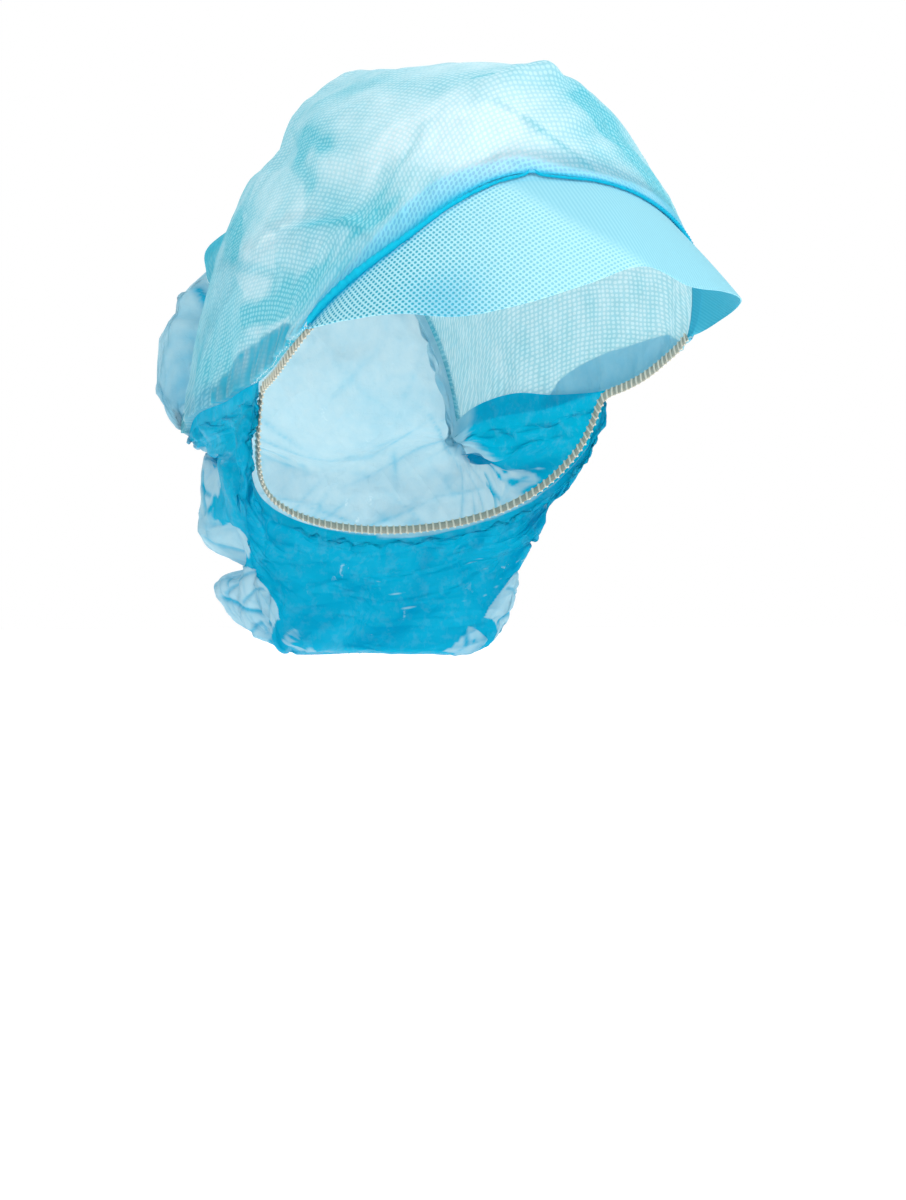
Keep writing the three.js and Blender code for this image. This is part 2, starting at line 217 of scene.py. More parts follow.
# Crown: a nonwoven sheet over the head, gathered at its sides and ruffled at the back.
crownCut = {
    "halfAcross": 140,
    "fullAlong": 290,
    "seamGroove": 1.3,
    "turnIn": 1.4,
    "turnWidth": 2.5,
    "turnSteps": 5,
    "columns": 250,
    "rows": 236,
    "patternRow": 0.4,
    "hem": {
        "width": 9, "rows": 9, "start": 0.02, "gap": 0.55, "ease": 0.2, "drawn": 8, "tone": -0.2, "soft": 0.5,
    },
    # sideX, sideY, sideZ, topY, topZ, fullness of each rib, from the peak to the back
    "ribs": [
        (85, -41, -3.4, -103, 49.5, 1.68),
        (85, -35, -6, -94, 64, 1.69),
        (84.5, -28, -9, -82, 80, 1.7),
        (84, -19, -13, -69, 93.5, 1.7),
        (82, -6, -18, -44, 97.5, 1.85),
        (79, 10, -22, -10, 100.5, 2.05),
        (77, 28, -25, 25, 101.8, 2.08),
        (74, 47, -28.5, 53.5, 103, 1.87),
        (71, 64, -30, 74, 101, 1.8),
        (68, 80, -31.5, 91, 86.5, 1.86),
        (65, 92, -34, 101, 67, 1.84),
        (62, 102, -39, 109, 46, 1.75),
    ],
    # how far the peak seam lies above the first rib, from the right temple to the left
    "seamLifts": [0, -0.8, 0, 2.8, 3.6, -0.5, -1, -0.5, -0.3, 0, 0],
    # across, along, turn from the front-to-back line, half length, half width, rise
    "folds": [
        (0, 0.27, 90, 14, 8, 2.5),
        (-0.08, 0.68, 90, 16, 10, 2),
        (-0.47, 0.62, 20, 30, 11, -4),
        (-0.6, 0.34, 0, 46, 11, -4),
        (-0.72, 0.4, 0, 50, 7, 2.5),
        (-0.3, 0.8, 40, 26, 10, -4),
        (0.0, 0.13, 62, 42, 7, 2),
        (0.14, 0.15, 58, 42, 8, -2.5),
        (0.55, 0.45, 0, 40, 13, -3),
        (0.42, 0.75, -40, 26, 10, -4),
        (-0.48, 0.945, 0, 13, 8, 11),
        (0.075, 0.27, 0, 20, 5, -2),
        (-0.035, 0.285, 0, 20, 4, -0.7),
    ],
    # across, along at both ends of each sharp crease, its half width and rise
    "creases": [
        (-0.7, 0.47, -0.67, 0.155, 2.2, 1.5),
        (-0.675, 0.46, -0.645, 0.17, 4, -1.4),
        (-0.7, 0.465, -0.83, 0.395, 2, 1.2),
        (-0.77, 0.58, -0.79, 0.41, 2.2, -1.6),
        (-0.845, 0.57, -0.85, 0.39, 2, 1),
        (-0.65, 0.63, -0.72, 0.6, 2.2, 1.1),
        (-0.9, 0.55, -0.95, 0.2, 2, 0.9),
        (-0.42, 0.58, -0.5, 0.44, 2.6, -1.6),
        (-0.46, 0.56, -0.6, 0.45, 2.6, -1.5),
        (-0.46, 0.51, -0.56, 0.44, 2.4, 1),
        (-0.51, 0.19, -0.57, 0.06, 1.6, 0.8),
        (-0.38, 0.28, -0.5, 0.23, 2.2, -0.9),
        (-0.62, 0.19, -0.6, 0.12, 3.5, -1.4),
        (-0.18, 0.23, -0.09, 0.11, 1.6, 0.8),
        (-0.11, 0.12, 0.02, 0.03, 1.5, 0.8),
        (-0.13, 0.16, -0.04, 0.08, 1.4, 0.7),
        (-0.22, 0.08, -0.13, 0.04, 1.4, 0.6),
        (-0.22, 0.34, -0.12, 0.24, 2, 0.7),
        (0.16, 0.24, 0.23, 0.09, 3, -1.2),
        (0.3, 0.3, 0.42, 0.2, 2.2, 0.9),
        (0.69, 0.46, 0.66, 0.16, 2.2, 1.3),
        (0.76, 0.57, 0.79, 0.41, 2, -1.3),
        (0.45, 0.56, 0.57, 0.45, 2.5, -1.3),
        (0.88, 0.5, 0.93, 0.25, 2, 0.9),
        (-0.2, 0.78, -0.12, 0.93, 2.5, 1.2),
        (0.2, 0.8, 0.1, 0.94, 2.5, 1.2),
        (0.36, 0.68, 0.3, 0.86, 3, -1.4),
        (-0.4, 0.7, -0.35, 0.86, 3, -1.3),
        (0.02, 0.7, 0.05, 0.88, 2.5, 1),
        (-0.53, 0.89, -0.52, 1, 1.6, 1.4),
        (-0.46, 0.88, -0.465, 1, 1.5, -1.4),
        (-0.42, 0.91, -0.41, 1, 1.5, 1.1),
        (0.012, 0.33, 0.012, 0.22, 2.5, 0.9),
    ],
    # the same columns for its tone, which is painted light and shade: paler above 0 where it stands clear in
    # the light, deeper below 0 where the folds lie in shade
    "tones": [
        (-0.48, 0.31, -0.28, 0.17, 22, 0.45),
        (-0.28, 0.17, -0.24, 0.08, 20, 0.4),
        (-0.1, 0.1, -0.12, 0.2, 18, 0.25),
        (-0.54, 0.41, -0.5, 0.5, 6, 0.3),
        (-0.65, 0.45, -0.59, 0.48, 4.5, 0.22),
        (-0.72, 0.46, -0.73, 0.57, 8, 0.05),
        (-0.95, 0.22, -0.92, 0.5, 3.5, 0.12),
        (-0.42, 0.58, -0.48, 0.48, 5, -0.4),
        (-0.48, 0.48, -0.5, 0.44, 4, -0.35),
        (-0.48, 0.55, -0.59, 0.46, 4.5, -0.4),
        (-0.66, 0.36, -0.62, 0.17, 9, -0.3),
        (-0.63, 0.17, -0.61, 0.15, 7, -0.35),
        (-0.69, 0.42, -0.67, 0.17, 3, -0.25),
        (-0.53, 0.26, -0.57, 0.22, 8, -0.2),
        (-0.58, 0.67, -0.7, 0.66, 6, -0.25),
        (-0.79, 0.26, -0.8, 0.1, 15, -0.22),
        (-0.87, 0.52, -0.86, 0.34, 5, -0.3),
        (-0.22, 0.34, -0.26, 0.55, 8, -0.25),
        (0.2, 0.2, 0.36, 0.08, 12, -0.2),
        (-0.38, 0.28, -0.5, 0.23, 3.5, -0.22),
        (-0.18, 0.22, -0.1, 0.12, 1.8, -0.25),
        (-0.1, 0.12, 0.02, 0.03, 1.6, -0.25),
        (-0.13, 0.16, -0.04, 0.08, 1.5, -0.2),
        (-0.22, 0.08, -0.13, 0.04, 1.5, -0.2),
        (0.5, 0.3, 0.55, 0.6, 30, 0.3),
        (0.1, 0.5, 0.05, 0.75, 34, 0.3),
        (-0.3, 0.44, 0.05, 0.36, 22, 0.3),
        (-0.42, 0.33, -0.3, 0.3, 16, 0.25),
        (-0.88, 0.2, -0.86, 0.43, 12, -0.3),
        (-0.9, 0.6, -0.92, 0.8, 16, -0.3),
        (-0.62, 0.72, -0.68, 0.62, 9, -0.25),
        (-0.17, 0.32, -0.14, 0.29, 1.6, -0.5),
        (-0.6, 0.85, -0.8, 0.97, 16, -0.25),
        (-0.48, 0.9, -0.47, 0.99, 9, -0.35),
        (-0.5, 0.91, -0.49, 0.98, 2, -0.4),
        (-0.44, 0.92, -0.44, 0.98, 2, 0.35),
        (0.12, 0.21, 0.4, 0.05, 11, -0.5),
    ],
    # painted light and shade of the flat facets between the folds, lit ones above 0 and shaded ones below 0:
    # tone, softness of the edge, and corners across and along
    "facetsLitAndShaded": [
        (0.28, 0.8, [(-0.59, 0.71), (-0.7, 0.48), (-0.72, 0.47), (-0.78, 0.45), (-0.72, 0.63)]),
        (0.28, 0.8, [(-0.75, 0.63), (-0.8, 0.45), (-0.84, 0.44), (-0.83, 0.51), (-0.82, 0.55)]),
        (0.32, 0.8, [(-0.89, 0.54), (-0.88, 0.47), (-0.92, 0.28), (-0.94, 0.24), (-0.91, 0.47)]),
        (0.17, 0.8, [(-0.48, 0.72), (-0.5, 0.59), (-0.57, 0.49), (-0.7, 0.41), (-0.68, 0.52), (-0.6, 0.69)]),
        (0.14, 0.8, [(-0.7, 0.48), (-0.69, 0.2), (-0.78, 0.16), (-0.81, 0.34), (-0.76, 0.46)]),
        (-0.2, 0.8, [(-0.83, 0.56), (-0.88, 0.33), (-0.92, 0.26), (-0.88, 0.54)]),
        (-0.22, 2.5, [(-0.55, 0.76), (-0.57, 0.73), (-0.66, 0.66), (-0.72, 0.64), (-0.71, 0.73),
                      (-0.6, 0.79)]),
        (-0.2, 1.2, [(-0.34, 0.69), (-0.41, 0.55), (-0.48, 0.47), (-0.49, 0.49), (-0.51, 0.53)]),
        (-0.3, 3.5, [(0.03, 0.2), (0.29, 0.06), (0.46, 0.06), (0.12, 0.24)]),
    ],
    # the same columns for the smooth tuft of the back edge
    "tuft": [(-0.5, 0.905, -0.465, 0.99, 8, 0.8)],
    "tone": 0.37,
    # height, size and seed
    "unevenTone": (0.05, 17, 8),
    # width and strength of the seam allowance that shows through, from the right temple to the left
    "allowance": [
        (3, 0.7), (5, 0.68), (8, 0.68), (6, 0.66), (4, 0.6), (5, 0.55), (6, 0.55), (5, 0.55), (3, 0.55),
    ],
    "allowanceEdge": (-1.2, 0.6),
    # places along between which folds and creases begin, and distance from the seam without gathers
    "foldsFrom": (0.07, 0.16),
    "creasesFrom": (0.02, 0.06),
    "gathersFrom": 26,
    # height, size and seed of the small unevenness, and the places along between which it begins
    "ripples": [(0.28, 26, 3, 0.02, 0.12), (0.1, 9, 4, 0.02, 0.1)],
    "sideGathers": {"waves": 8, "depth": 1.1, "fade": 14},
    "fineGathers": {"waves": 31, "depth": 0.35, "fade": 8, "sway": (0.4, 9)},
    "backRuffle": {"waves": 9, "depth": 4.5, "flare": 3, "fade": 12, "from": (0.38, 0.56)},
    "fineRuffle": {"waves": 23, "depth": 1.1, "fade": 8, "sway": (0.5, 7)},
}
crownScale = (crownCut["halfAcross"], crownCut["fullAlong"])


def crownForm(across, along):
    across, along = np.broadcast_arrays(np.asarray(across, float), np.asarray(along, float))
    ribs = splineAt(crownCut["ribs"], along)
    sideX, sideY, sideZ, topY, topZ, fullness = np.moveaxis(ribs, -1, 0)
    sine, cosine = np.sin(across * math.pi / 2), np.cos(across * math.pi / 2)
    radius = (np.abs(sine) ** fullness + np.abs(cosine) ** fullness) ** (-1 / fullness)
    up = radius * cosine
    return np.stack([sideX * radius * sine, sideY + (topY - sideY) * up, sideZ + (topZ - sideZ) * up], -1)


def crownOffset(across, along, out):
    out = np.asarray(out, float)[..., None]
    return crownForm(across, along) + normalAt(crownForm, across, along) * out


# Where along the sheet a place lies that is a distance in millimetres from the peak seam.
def alongFor(across, distance):
    step = 0.01
    span = np.linalg.norm(crownForm(across, step) - crownForm(across, 0), axis=-1)
    lift = curveAt(crownCut["seamLifts"], (np.asarray(across) + 1) / 2)
    return (distance + lift) * step / span


def foldRise(across, along):
    rise = np.zeros(np.broadcast(across, along).shape)
    for foldAcross, foldAlong, turn, long, wide, height in crownCut["folds"]:
        cosine, sine = math.cos(math.radians(turn)), math.sin(math.radians(turn))
        x = (across - foldAcross) * crownScale[0]
        y = (along - foldAlong) * crownScale[1]
        rise += height * fade(y * cosine + x * sine, long) * fade(x * cosine - y * sine, wide)
    return rise


# Sum of strokes drawn on a sheet from point to point: soft patches, or sharp creases that die out at the ends.
def strokes(across, along, table, scale, sharp=False):
    total = np.zeros(np.broadcast(across, along).shape)
    for startX, startY, endX, endY, wide, height in table:
        x, y = (across - startX) * scale[0], (along - startY) * scale[1]
        runX, runY = (endX - startX) * scale[0], (endY - startY) * scale[1]
        t = np.clip((x * runX + y * runY) / (runX**2 + runY**2), 0, 1)
        away = np.hypot(x - t * runX, y - t * runY)
        if sharp:
            total += height * np.sqrt(4 * t * (1 - t)) * np.exp(-away / wide)
        else:
            total += height * fade(away, wide)
    return total


# Sum of flat facets, each a convex polygon on the sheet with a crisp or softer edge.
def facetTone(across, along, table, scale):
    total = np.zeros(across.shape)
    x, y = across * scale[0], along * scale[1]
    for tone, soft, corners in table:
        corners = np.array(corners) * scale
        runs = unit(np.roll(corners, -1, 0) - corners)
        side = np.sign(runs[0, 0] * runs[1, 1] - runs[0, 1] * runs[1, 0])
        depths = [side * (run[0] * (y - at[1]) - run[1] * (x - at[0])) for at, run in zip(corners, runs)]
        total += tone * smoothstep(np.min(depths, 0), -soft, soft)
    return total


def swayed(cut, share):
    far, rate = cut["sway"]
    return np.sin(tau * (cut["waves"] * share + far * np.sin(rate * share)))


def gatherRise(across, along):
    side, fine = crownCut["sideGathers"], crownCut["fineGathers"]
    back, small = crownCut["backRuffle"], crownCut["fineRuffle"]
    fromSide = (1 - np.abs(across)) * crownScale[0]
    fromBack = (1 - along) * crownScale[1]
    clearOfSeam = 1 - fade(along * crownScale[1], crownCut["gathersFrom"])
    rise = side["depth"] * (1 + np.sin(tau * side["waves"] * along)) * fade(fromSide, side["fade"])
    rise += fine["depth"] * (1 + swayed(fine, along)) * fade(fromSide, fine["fade"])
    raised = smoothstep(1 - np.abs(across), *back["from"])
    wave = 0.5 + 0.5 * np.cos(tau * back["waves"] * across)
    ruffle = (back["flare"] + back["depth"] * wave) * fade(fromBack, back["fade"])
    ruffle += small["depth"] * swayed(small, across) * fade(fromBack, small["fade"])
    return rise * clearOfSeam + raised * ruffle


def crownPoint(across, along, under=0.0, turned=0.0):
    x, y = across * crownScale[0], along * crownScale[1]
    creases = strokes(across, along, crownCut["creases"], crownScale, True)
    rise = foldRise(across, along) * smoothstep(along, *crownCut["foldsFrom"])
    rise += creases * smoothstep(along, *crownCut["creasesFrom"])
    rise += gatherRise(across, along)
    for height, size, seed, start, full in crownCut["ripples"]:
        rise += height * ripples(x, y, size, seed) * smoothstep(along, start, full)
    return crownOffset(across, along, rise * (1 - turned) - crownCut["turnIn"] * turned - under)


# How pale the cloth is with its painted light and shade, how far the seam allowance and the film behind it
# show in it, and the seam's blue beside it: painted shade of the seam's groove over the doubled cloth there.
def crownTonesAndShade(across, along):
    x, y = across * crownScale[0], along * crownScale[1]
    hem = crownCut["hem"]
    # painted light and shade from the tone strokes and the facets, with the hem's tone and an uneven tone
    toneAndShading = crownCut["tone"] + strokes(across, along, crownCut["tones"], crownScale)
    toneAndShading += facetTone(across, along, crownCut["facetsLitAndShaded"], crownScale)
    fromBack = (1 - along) * crownScale[1]
    toneAndShading += hem["tone"] * smoothstep(fromBack, hem["width"] + hem["soft"], hem["width"] - hem["soft"])
    height, size, seed = crownCut["unevenTone"]
    toneAndShading = np.clip(toneAndShading + height * ripples(x, y, size, seed), 0, 1)
    wide, strong = np.moveaxis(splineAt(crownCut["allowance"], (across + 1) / 2), -1, 0)
    less, more = crownCut["allowanceEdge"]
    seamAlong = alongFor(across, 0)
    fromSeam = (along - seamAlong) / (alongFor(across, 1) - seamAlong)
    deep = strong * (1 - smoothstep(fromSeam, wide + less, wide + more))
    # painted shade of the seam's groove running out into the cloth, over the doubled cloth of the fold
    spread = curveAt(seamCut["spread"], (across + 1) / 2)
    foldShade = np.exp(-np.clip(fromSeam - seamCut["edge"], 0, None) / spread)
    fromSide = (1 - np.abs(across)) * crownScale[0]
    lined = 1 - smoothstep(fromSide - facingDepth(along), *facingCut["edge"])
    even, uneven, size, seed = facingCut["uneven"]
    lined *= np.where(across < 0, *facingCut["shows"]) * (even + uneven * ripples(x, y, size, seed))
    lined = np.maximum(lined, strokes(across, along, crownCut["tuft"], crownScale))
    return {"toneAndShading": toneAndShading, "deep": deep, "lined": np.clip(lined, 0, 1), "foldShade": foldShade}


def makeCrown(material):
    # the side edges turn in to the elastic
    steps, columns = crownCut["turnSteps"], crownCut["columns"] + 1
    inward = np.linspace(0, 1, steps + 1)[1:]
    turned = np.concatenate([inward[::-1], np.zeros(columns), inward])[None, :]
    across = np.pad(np.linspace(-1, 1, columns), steps, "edge")[None, :]
    share = np.linspace(0, 1, crownCut["rows"] + 1)[:, None]
    first = alongFor(across, crownCut["seamGroove"])
    across, along = np.broadcast_arrays(across, first + share * (1 - first))
    points = crownPoint(across, along, 0, turned)
    middleRow = int(crownCut["patternRow"] * crownCut["rows"])
    flat = gridLengths(crownForm(across, along) * patternScale, middleRow)
    flat[..., 0] += crownCut["turnWidth"] * turned * np.sign(across)
    # the hem turns under the back edge and runs forward again
    hem = crownCut["hem"]
    share = np.linspace(hem["start"], 1, hem["rows"])[:, None]
    hemAcross, hemAlong = np.broadcast_arrays(across[:1], 1 - share * hem["width"] / crownScale[1])
    hemPoints = crownPoint(hemAcross, hemAlong, hem["gap"] * smoothstep(share, 0, hem["ease"]), turned)
    hemFlat = flat[-1:] + (flat[-1:] - flat[-2:-1]) * (share * hem["drawn"])[..., None]
    points = np.concatenate([points, hemPoints])
    flat = np.concatenate([flat, hemFlat])
    values = crownTonesAndShade(np.concatenate([across, hemAcross]), np.concatenate([along, hemAlong]))
    piece = sheetObject("crown_cloth", points, material, flat, values=values)
    print("crown", len(piece.data.polygons), "faces")
    return piece


# Peak: a stiffer nonwoven, with its sewn edge turned up inside the crown.
peakCut = {
    "centreY": -41,
    "halfWidth": 85,
    "reach": 99,
    "swell": 1,
    "endAngle": 89.5,
    "bend": (-21.6, 0.4),
    "allowance": 7.5,
    "inside": 1.6,
    "edgeHeights": [-4.8, -2.6, -1.1, -2.7, 1.6, 8.7, 15.7, 9.3, 8.6, 7.7, 6.1, 2.5, -2.5],
    "columns": 220,
    "freeRows": 56,
    "turnedRows": 10,
    "thickness": 0.5,
    "tuckAtEnds": 0.35,
    "bowForward": 0.6,
    "bendSoft": 3.5,
    # the points weaken by a part between two angles
    "weaker": {"by": 0.55, "between": (-62, -14)},
    # blue beside the seam, painted shade of its groove: strong, even and reaching far at the right temple,
    # less so towards the middle
    "blue": {"least": 0.3, "even": 1.1, "between": (-75, -30), "turned": 0.2},
    "seamShadeReach": {"least": 0.5, "more": 1.1, "between": (-80, -35)},
    # a painted soft shade across the near edge
    "shade": {"depth": 0.36, "angle": -48, "width": 10, "between": (0.35, 0.8)},
}


def peakPoint(angle, share):
    turn = np.radians(angle)
    across = angle / 90
    ends = peakCut["tuckAtEnds"]
    tuck = np.clip(-share, 0, 1) * (ends + (1 - ends) * np.cos(turn)) * peakCut["allowance"]
    inner = crownOffset(across, alongFor(across, tuck), -peakCut["inside"])
    heights = curveAt(peakCut["edgeHeights"], (angle + 90) / 180)
    edge = np.stack([
        peakCut["halfWidth"] * np.sin(turn),
        peakCut["centreY"] - peakCut["reach"] * np.cos(turn),
        heights,
    ], -1)
    out = np.clip(share, 0, 1)
    bow = 4 * peakCut["swell"] * out * (1 - out) * np.cos(turn)
    point = inner + (edge - inner) * out[..., None]
    point[..., 2] += bow
    point[..., 1] -= peakCut["bowForward"] * bow
    return point


def makePeak(material, underside):
    angle = np.linspace(-peakCut["endAngle"], peakCut["endAngle"], peakCut["columns"] + 1)[None, :]
    free = np.linspace(1, 0, peakCut["freeRows"] + 1)
    turned = np.linspace(0, -1, peakCut["turnedRows"] + 1)[1:]
    share = np.concatenate([free, turned])[:, None]
    angle, share = np.broadcast_arrays(angle, share)
    points = peakPoint(angle, share)
    drawn = points * patternScale
    flat = layFlat(drawn, gridLengths(drawn, peakCut["freeRows"]))
    # the points show on the near side of a soft bend from the seam to the edge
    start, end = peakCut["bend"]
    soft, weaker = peakCut["bendSoft"], peakCut["weaker"]
    coarse = 1 - smoothstep(angle - start - (end - start) * share, -soft, soft)
    strong = coarse * (1 - weaker["by"] * smoothstep(angle, *weaker["between"]))
    blue, reach, shade = peakCut["blue"], peakCut["seamShadeReach"], peakCut["shade"]
    # painted shade of the seam's groove, beside the seam on the peak
    fromSeam = np.linalg.norm(points - points[peakCut["freeRows"]], axis=-1)
    near = 1 - smoothstep(angle, *blue["between"])
    wide = reach["least"] + reach["more"] * (1 - smoothstep(angle, *reach["between"]))
    deep = np.exp(-np.clip(fromSeam - blue["even"] * near, 0, None) / wide)
    deep *= blue["least"] + (1 - blue["least"]) * near
    deep = np.where(share > 0, deep, blue["turned"])
    # painted shade across the near edge, taken into the seam's painted shade
    shaded = fade(angle - shade["angle"], shade["width"]) * smoothstep(share, *shade["between"])
    values = {"coarse": coarse, "strong": strong, "deep": np.maximum(deep, shade["depth"] * shaded)}
    piece = sheetObject("peak_cloth", points, material, flat, values=values)
    thick = piece.modifiers.new("cloth thickness", "SOLIDIFY")
    thick.thickness = peakCut["thickness"] * mm
    thick.offset = 0
    # the inner shell takes the darker copy of the cloth for the underside: painted shade
    piece.data.materials.append(underside)
    thick.material_offset = 1
    print("peak", len(piece.data.polygons), "faces")
    return piece


# Seam: the folded edge between crown and peak.
seamCut = {
    "height": 0.85,
    "end": 0.995,
    "steps": 460,
    "sides": 8,
    # half thickness from the right temple to the left
    "thickness": [1.2, 1.5, 1.05, 0.64, 0.5, 0.52, 0.6, 0.6, 0.5],
    # how far its blue runs out into the cloth beside it, as painted shade of its groove over the doubled cloth
    "spread": [2.0, 2.2, 1.5, 0.7, 0.4, 0.5, 0.6, 0.6, 0.6],
    "edge": 1.6,
    "tuck": {"across": -0.16, "height": 2.2, "width": 1.6},
    "sunk": 0.45,
    "flatter": 1.25,
    # height, length of the line, size and seed
    "uneven": (0.07, 120, 2.4, 11),
    "taper": {"least": 0.15, "length": 0.03},
}


def tubeAlong(name, line, out, halfOut, halfUp, sides, material):
    run = unit(np.gradient(line, axis=0))
    up = unit(np.cross(run, out))
    facing = unit(np.cross(up, run))
    turn = np.linspace(0, tau, sides, endpoint=False)[None, :, None]
    halfOut = np.broadcast_to(halfOut, len(line))[:, None, None]
    halfUp = np.broadcast_to(halfUp, len(line))[:, None, None]
    rings = line[:, None] + facing[:, None] * np.cos(turn) * halfOut + up[:, None] * np.sin(turn) * halfUp
    return sheetObject(name, rings, material, closed=True)


def seamLine(across):
    tuck = seamCut["tuck"]
    fromTuck = np.abs(across - tuck["across"]) * crownScale[0]
    rise = tuck["height"] * np.exp(-fromTuck / tuck["width"])
    along = alongFor(across, seamCut["height"] + rise)
    out = normalAt(crownForm, across, along)
    return crownForm(across, along) - out * seamCut["sunk"], out


def makeSeam(material):
    across = np.linspace(-seamCut["end"], seamCut["end"], seamCut["steps"])
    line, out = seamLine(across)
    height, length, size, seed = seamCut["uneven"]
    taper = seamCut["taper"]
    ends = smoothstep(seamCut["end"] - np.abs(across), 0, taper["length"])
    ends = taper["least"] + (1 - taper["least"]) * ends
    thick = curveAt(seamCut["thickness"], (across + 1) / 2)
    thick *= (1 + height * ripples(across * length, 0, size, seed)) * ends
    piece = tubeAlong("seam_fold", line, out, seamCut["flatter"] * thick, thick, seamCut["sides"], material)
    print("seam", len(piece.data.polygons), "faces")
    return piece


# Elastic: a flat braid inside the crown's sides and round the nape.
elasticCut = {
    "width": 3.2,
    "thickness": 0.9,
    "sides": 10,
    "startAlong": 0.004,
    "earAlong": 0.46,
    # below the crown's edge, inside it, further inside at the temple, and inside the film's edge at the nape
    "across": -1.012,
    "inside": 1.9,
    "temple": {"more": 0.8, "reach": 0.12},
    "napeInside": 2.9,
    "napeFacing": (1, 0.4, -12),
    "napeFrom": 0.3,
    "rounding": 60,
    # x, y, z of the nape edge, from the ear to the middle
    "nape": [(75, 22, -45), (62, 40, -64), (36, 51, -75), (0, 55, -79)],
}


def napeLine(share):
    ear = crownForm(-1.0, elasticCut["earAlong"])
    right = np.concatenate([[ear], np.array(elasticCut["nape"], float) * mirror])
    return splineAt(np.concatenate([right, right[:-1][::-1] * mirror]), share)


def elasticLine(sideSteps=60, napeSteps=110):
    temple, start = elasticCut["temple"], elasticCut["startAlong"]
    share = np.linspace(0, 1, sideSteps, endpoint=False)
    along = start + (elasticCut["earAlong"] - start) * share
    sideOut = normalAt(crownForm, np.full(sideSteps, -1.0), along)
    inside = elasticCut["inside"] + share + temple["more"] * fade(share, temple["reach"])
    side = crownOffset(np.full(sideSteps, elasticCut["across"]), along, -inside)
    share = np.linspace(0, 1, napeSteps)
    nape = napeLine(share / 2)
    outX, outY, outZ = elasticCut["napeFacing"]
    out = unit(np.stack([outX * nape[:, 0], outY * nape[:, 1], np.full(napeSteps, float(outZ))], -1))
    blend = smoothstep(share, 0, elasticCut["napeFrom"])[:, None]
    out = unit(sideOut[-1] * (1 - blend) + out * blend)
    line = np.concatenate([side, nape - out * elasticCut["napeInside"]])
    facing = np.concatenate([sideOut, out])
    line = np.concatenate([line, line[:-1][::-1] * mirror])
    facing = np.concatenate([facing, facing[:-1][::-1] * mirror])
    # rounds the turn at the ear
    for _ in range(elasticCut["rounding"]):
        line[1:-1] = (line[:-2] + 2 * line[1:-1] + line[2:]) / 4
    return line, facing


def makeElastic(material):
    line, facing = elasticLine()
    high, wide = elasticCut["thickness"] / 2, elasticCut["width"] / 2
    piece = tubeAlong("elastic_band", line, facing, high, wide, elasticCut["sides"], material)
    print("elastic", len(piece.data.polygons), "faces")
    return piece


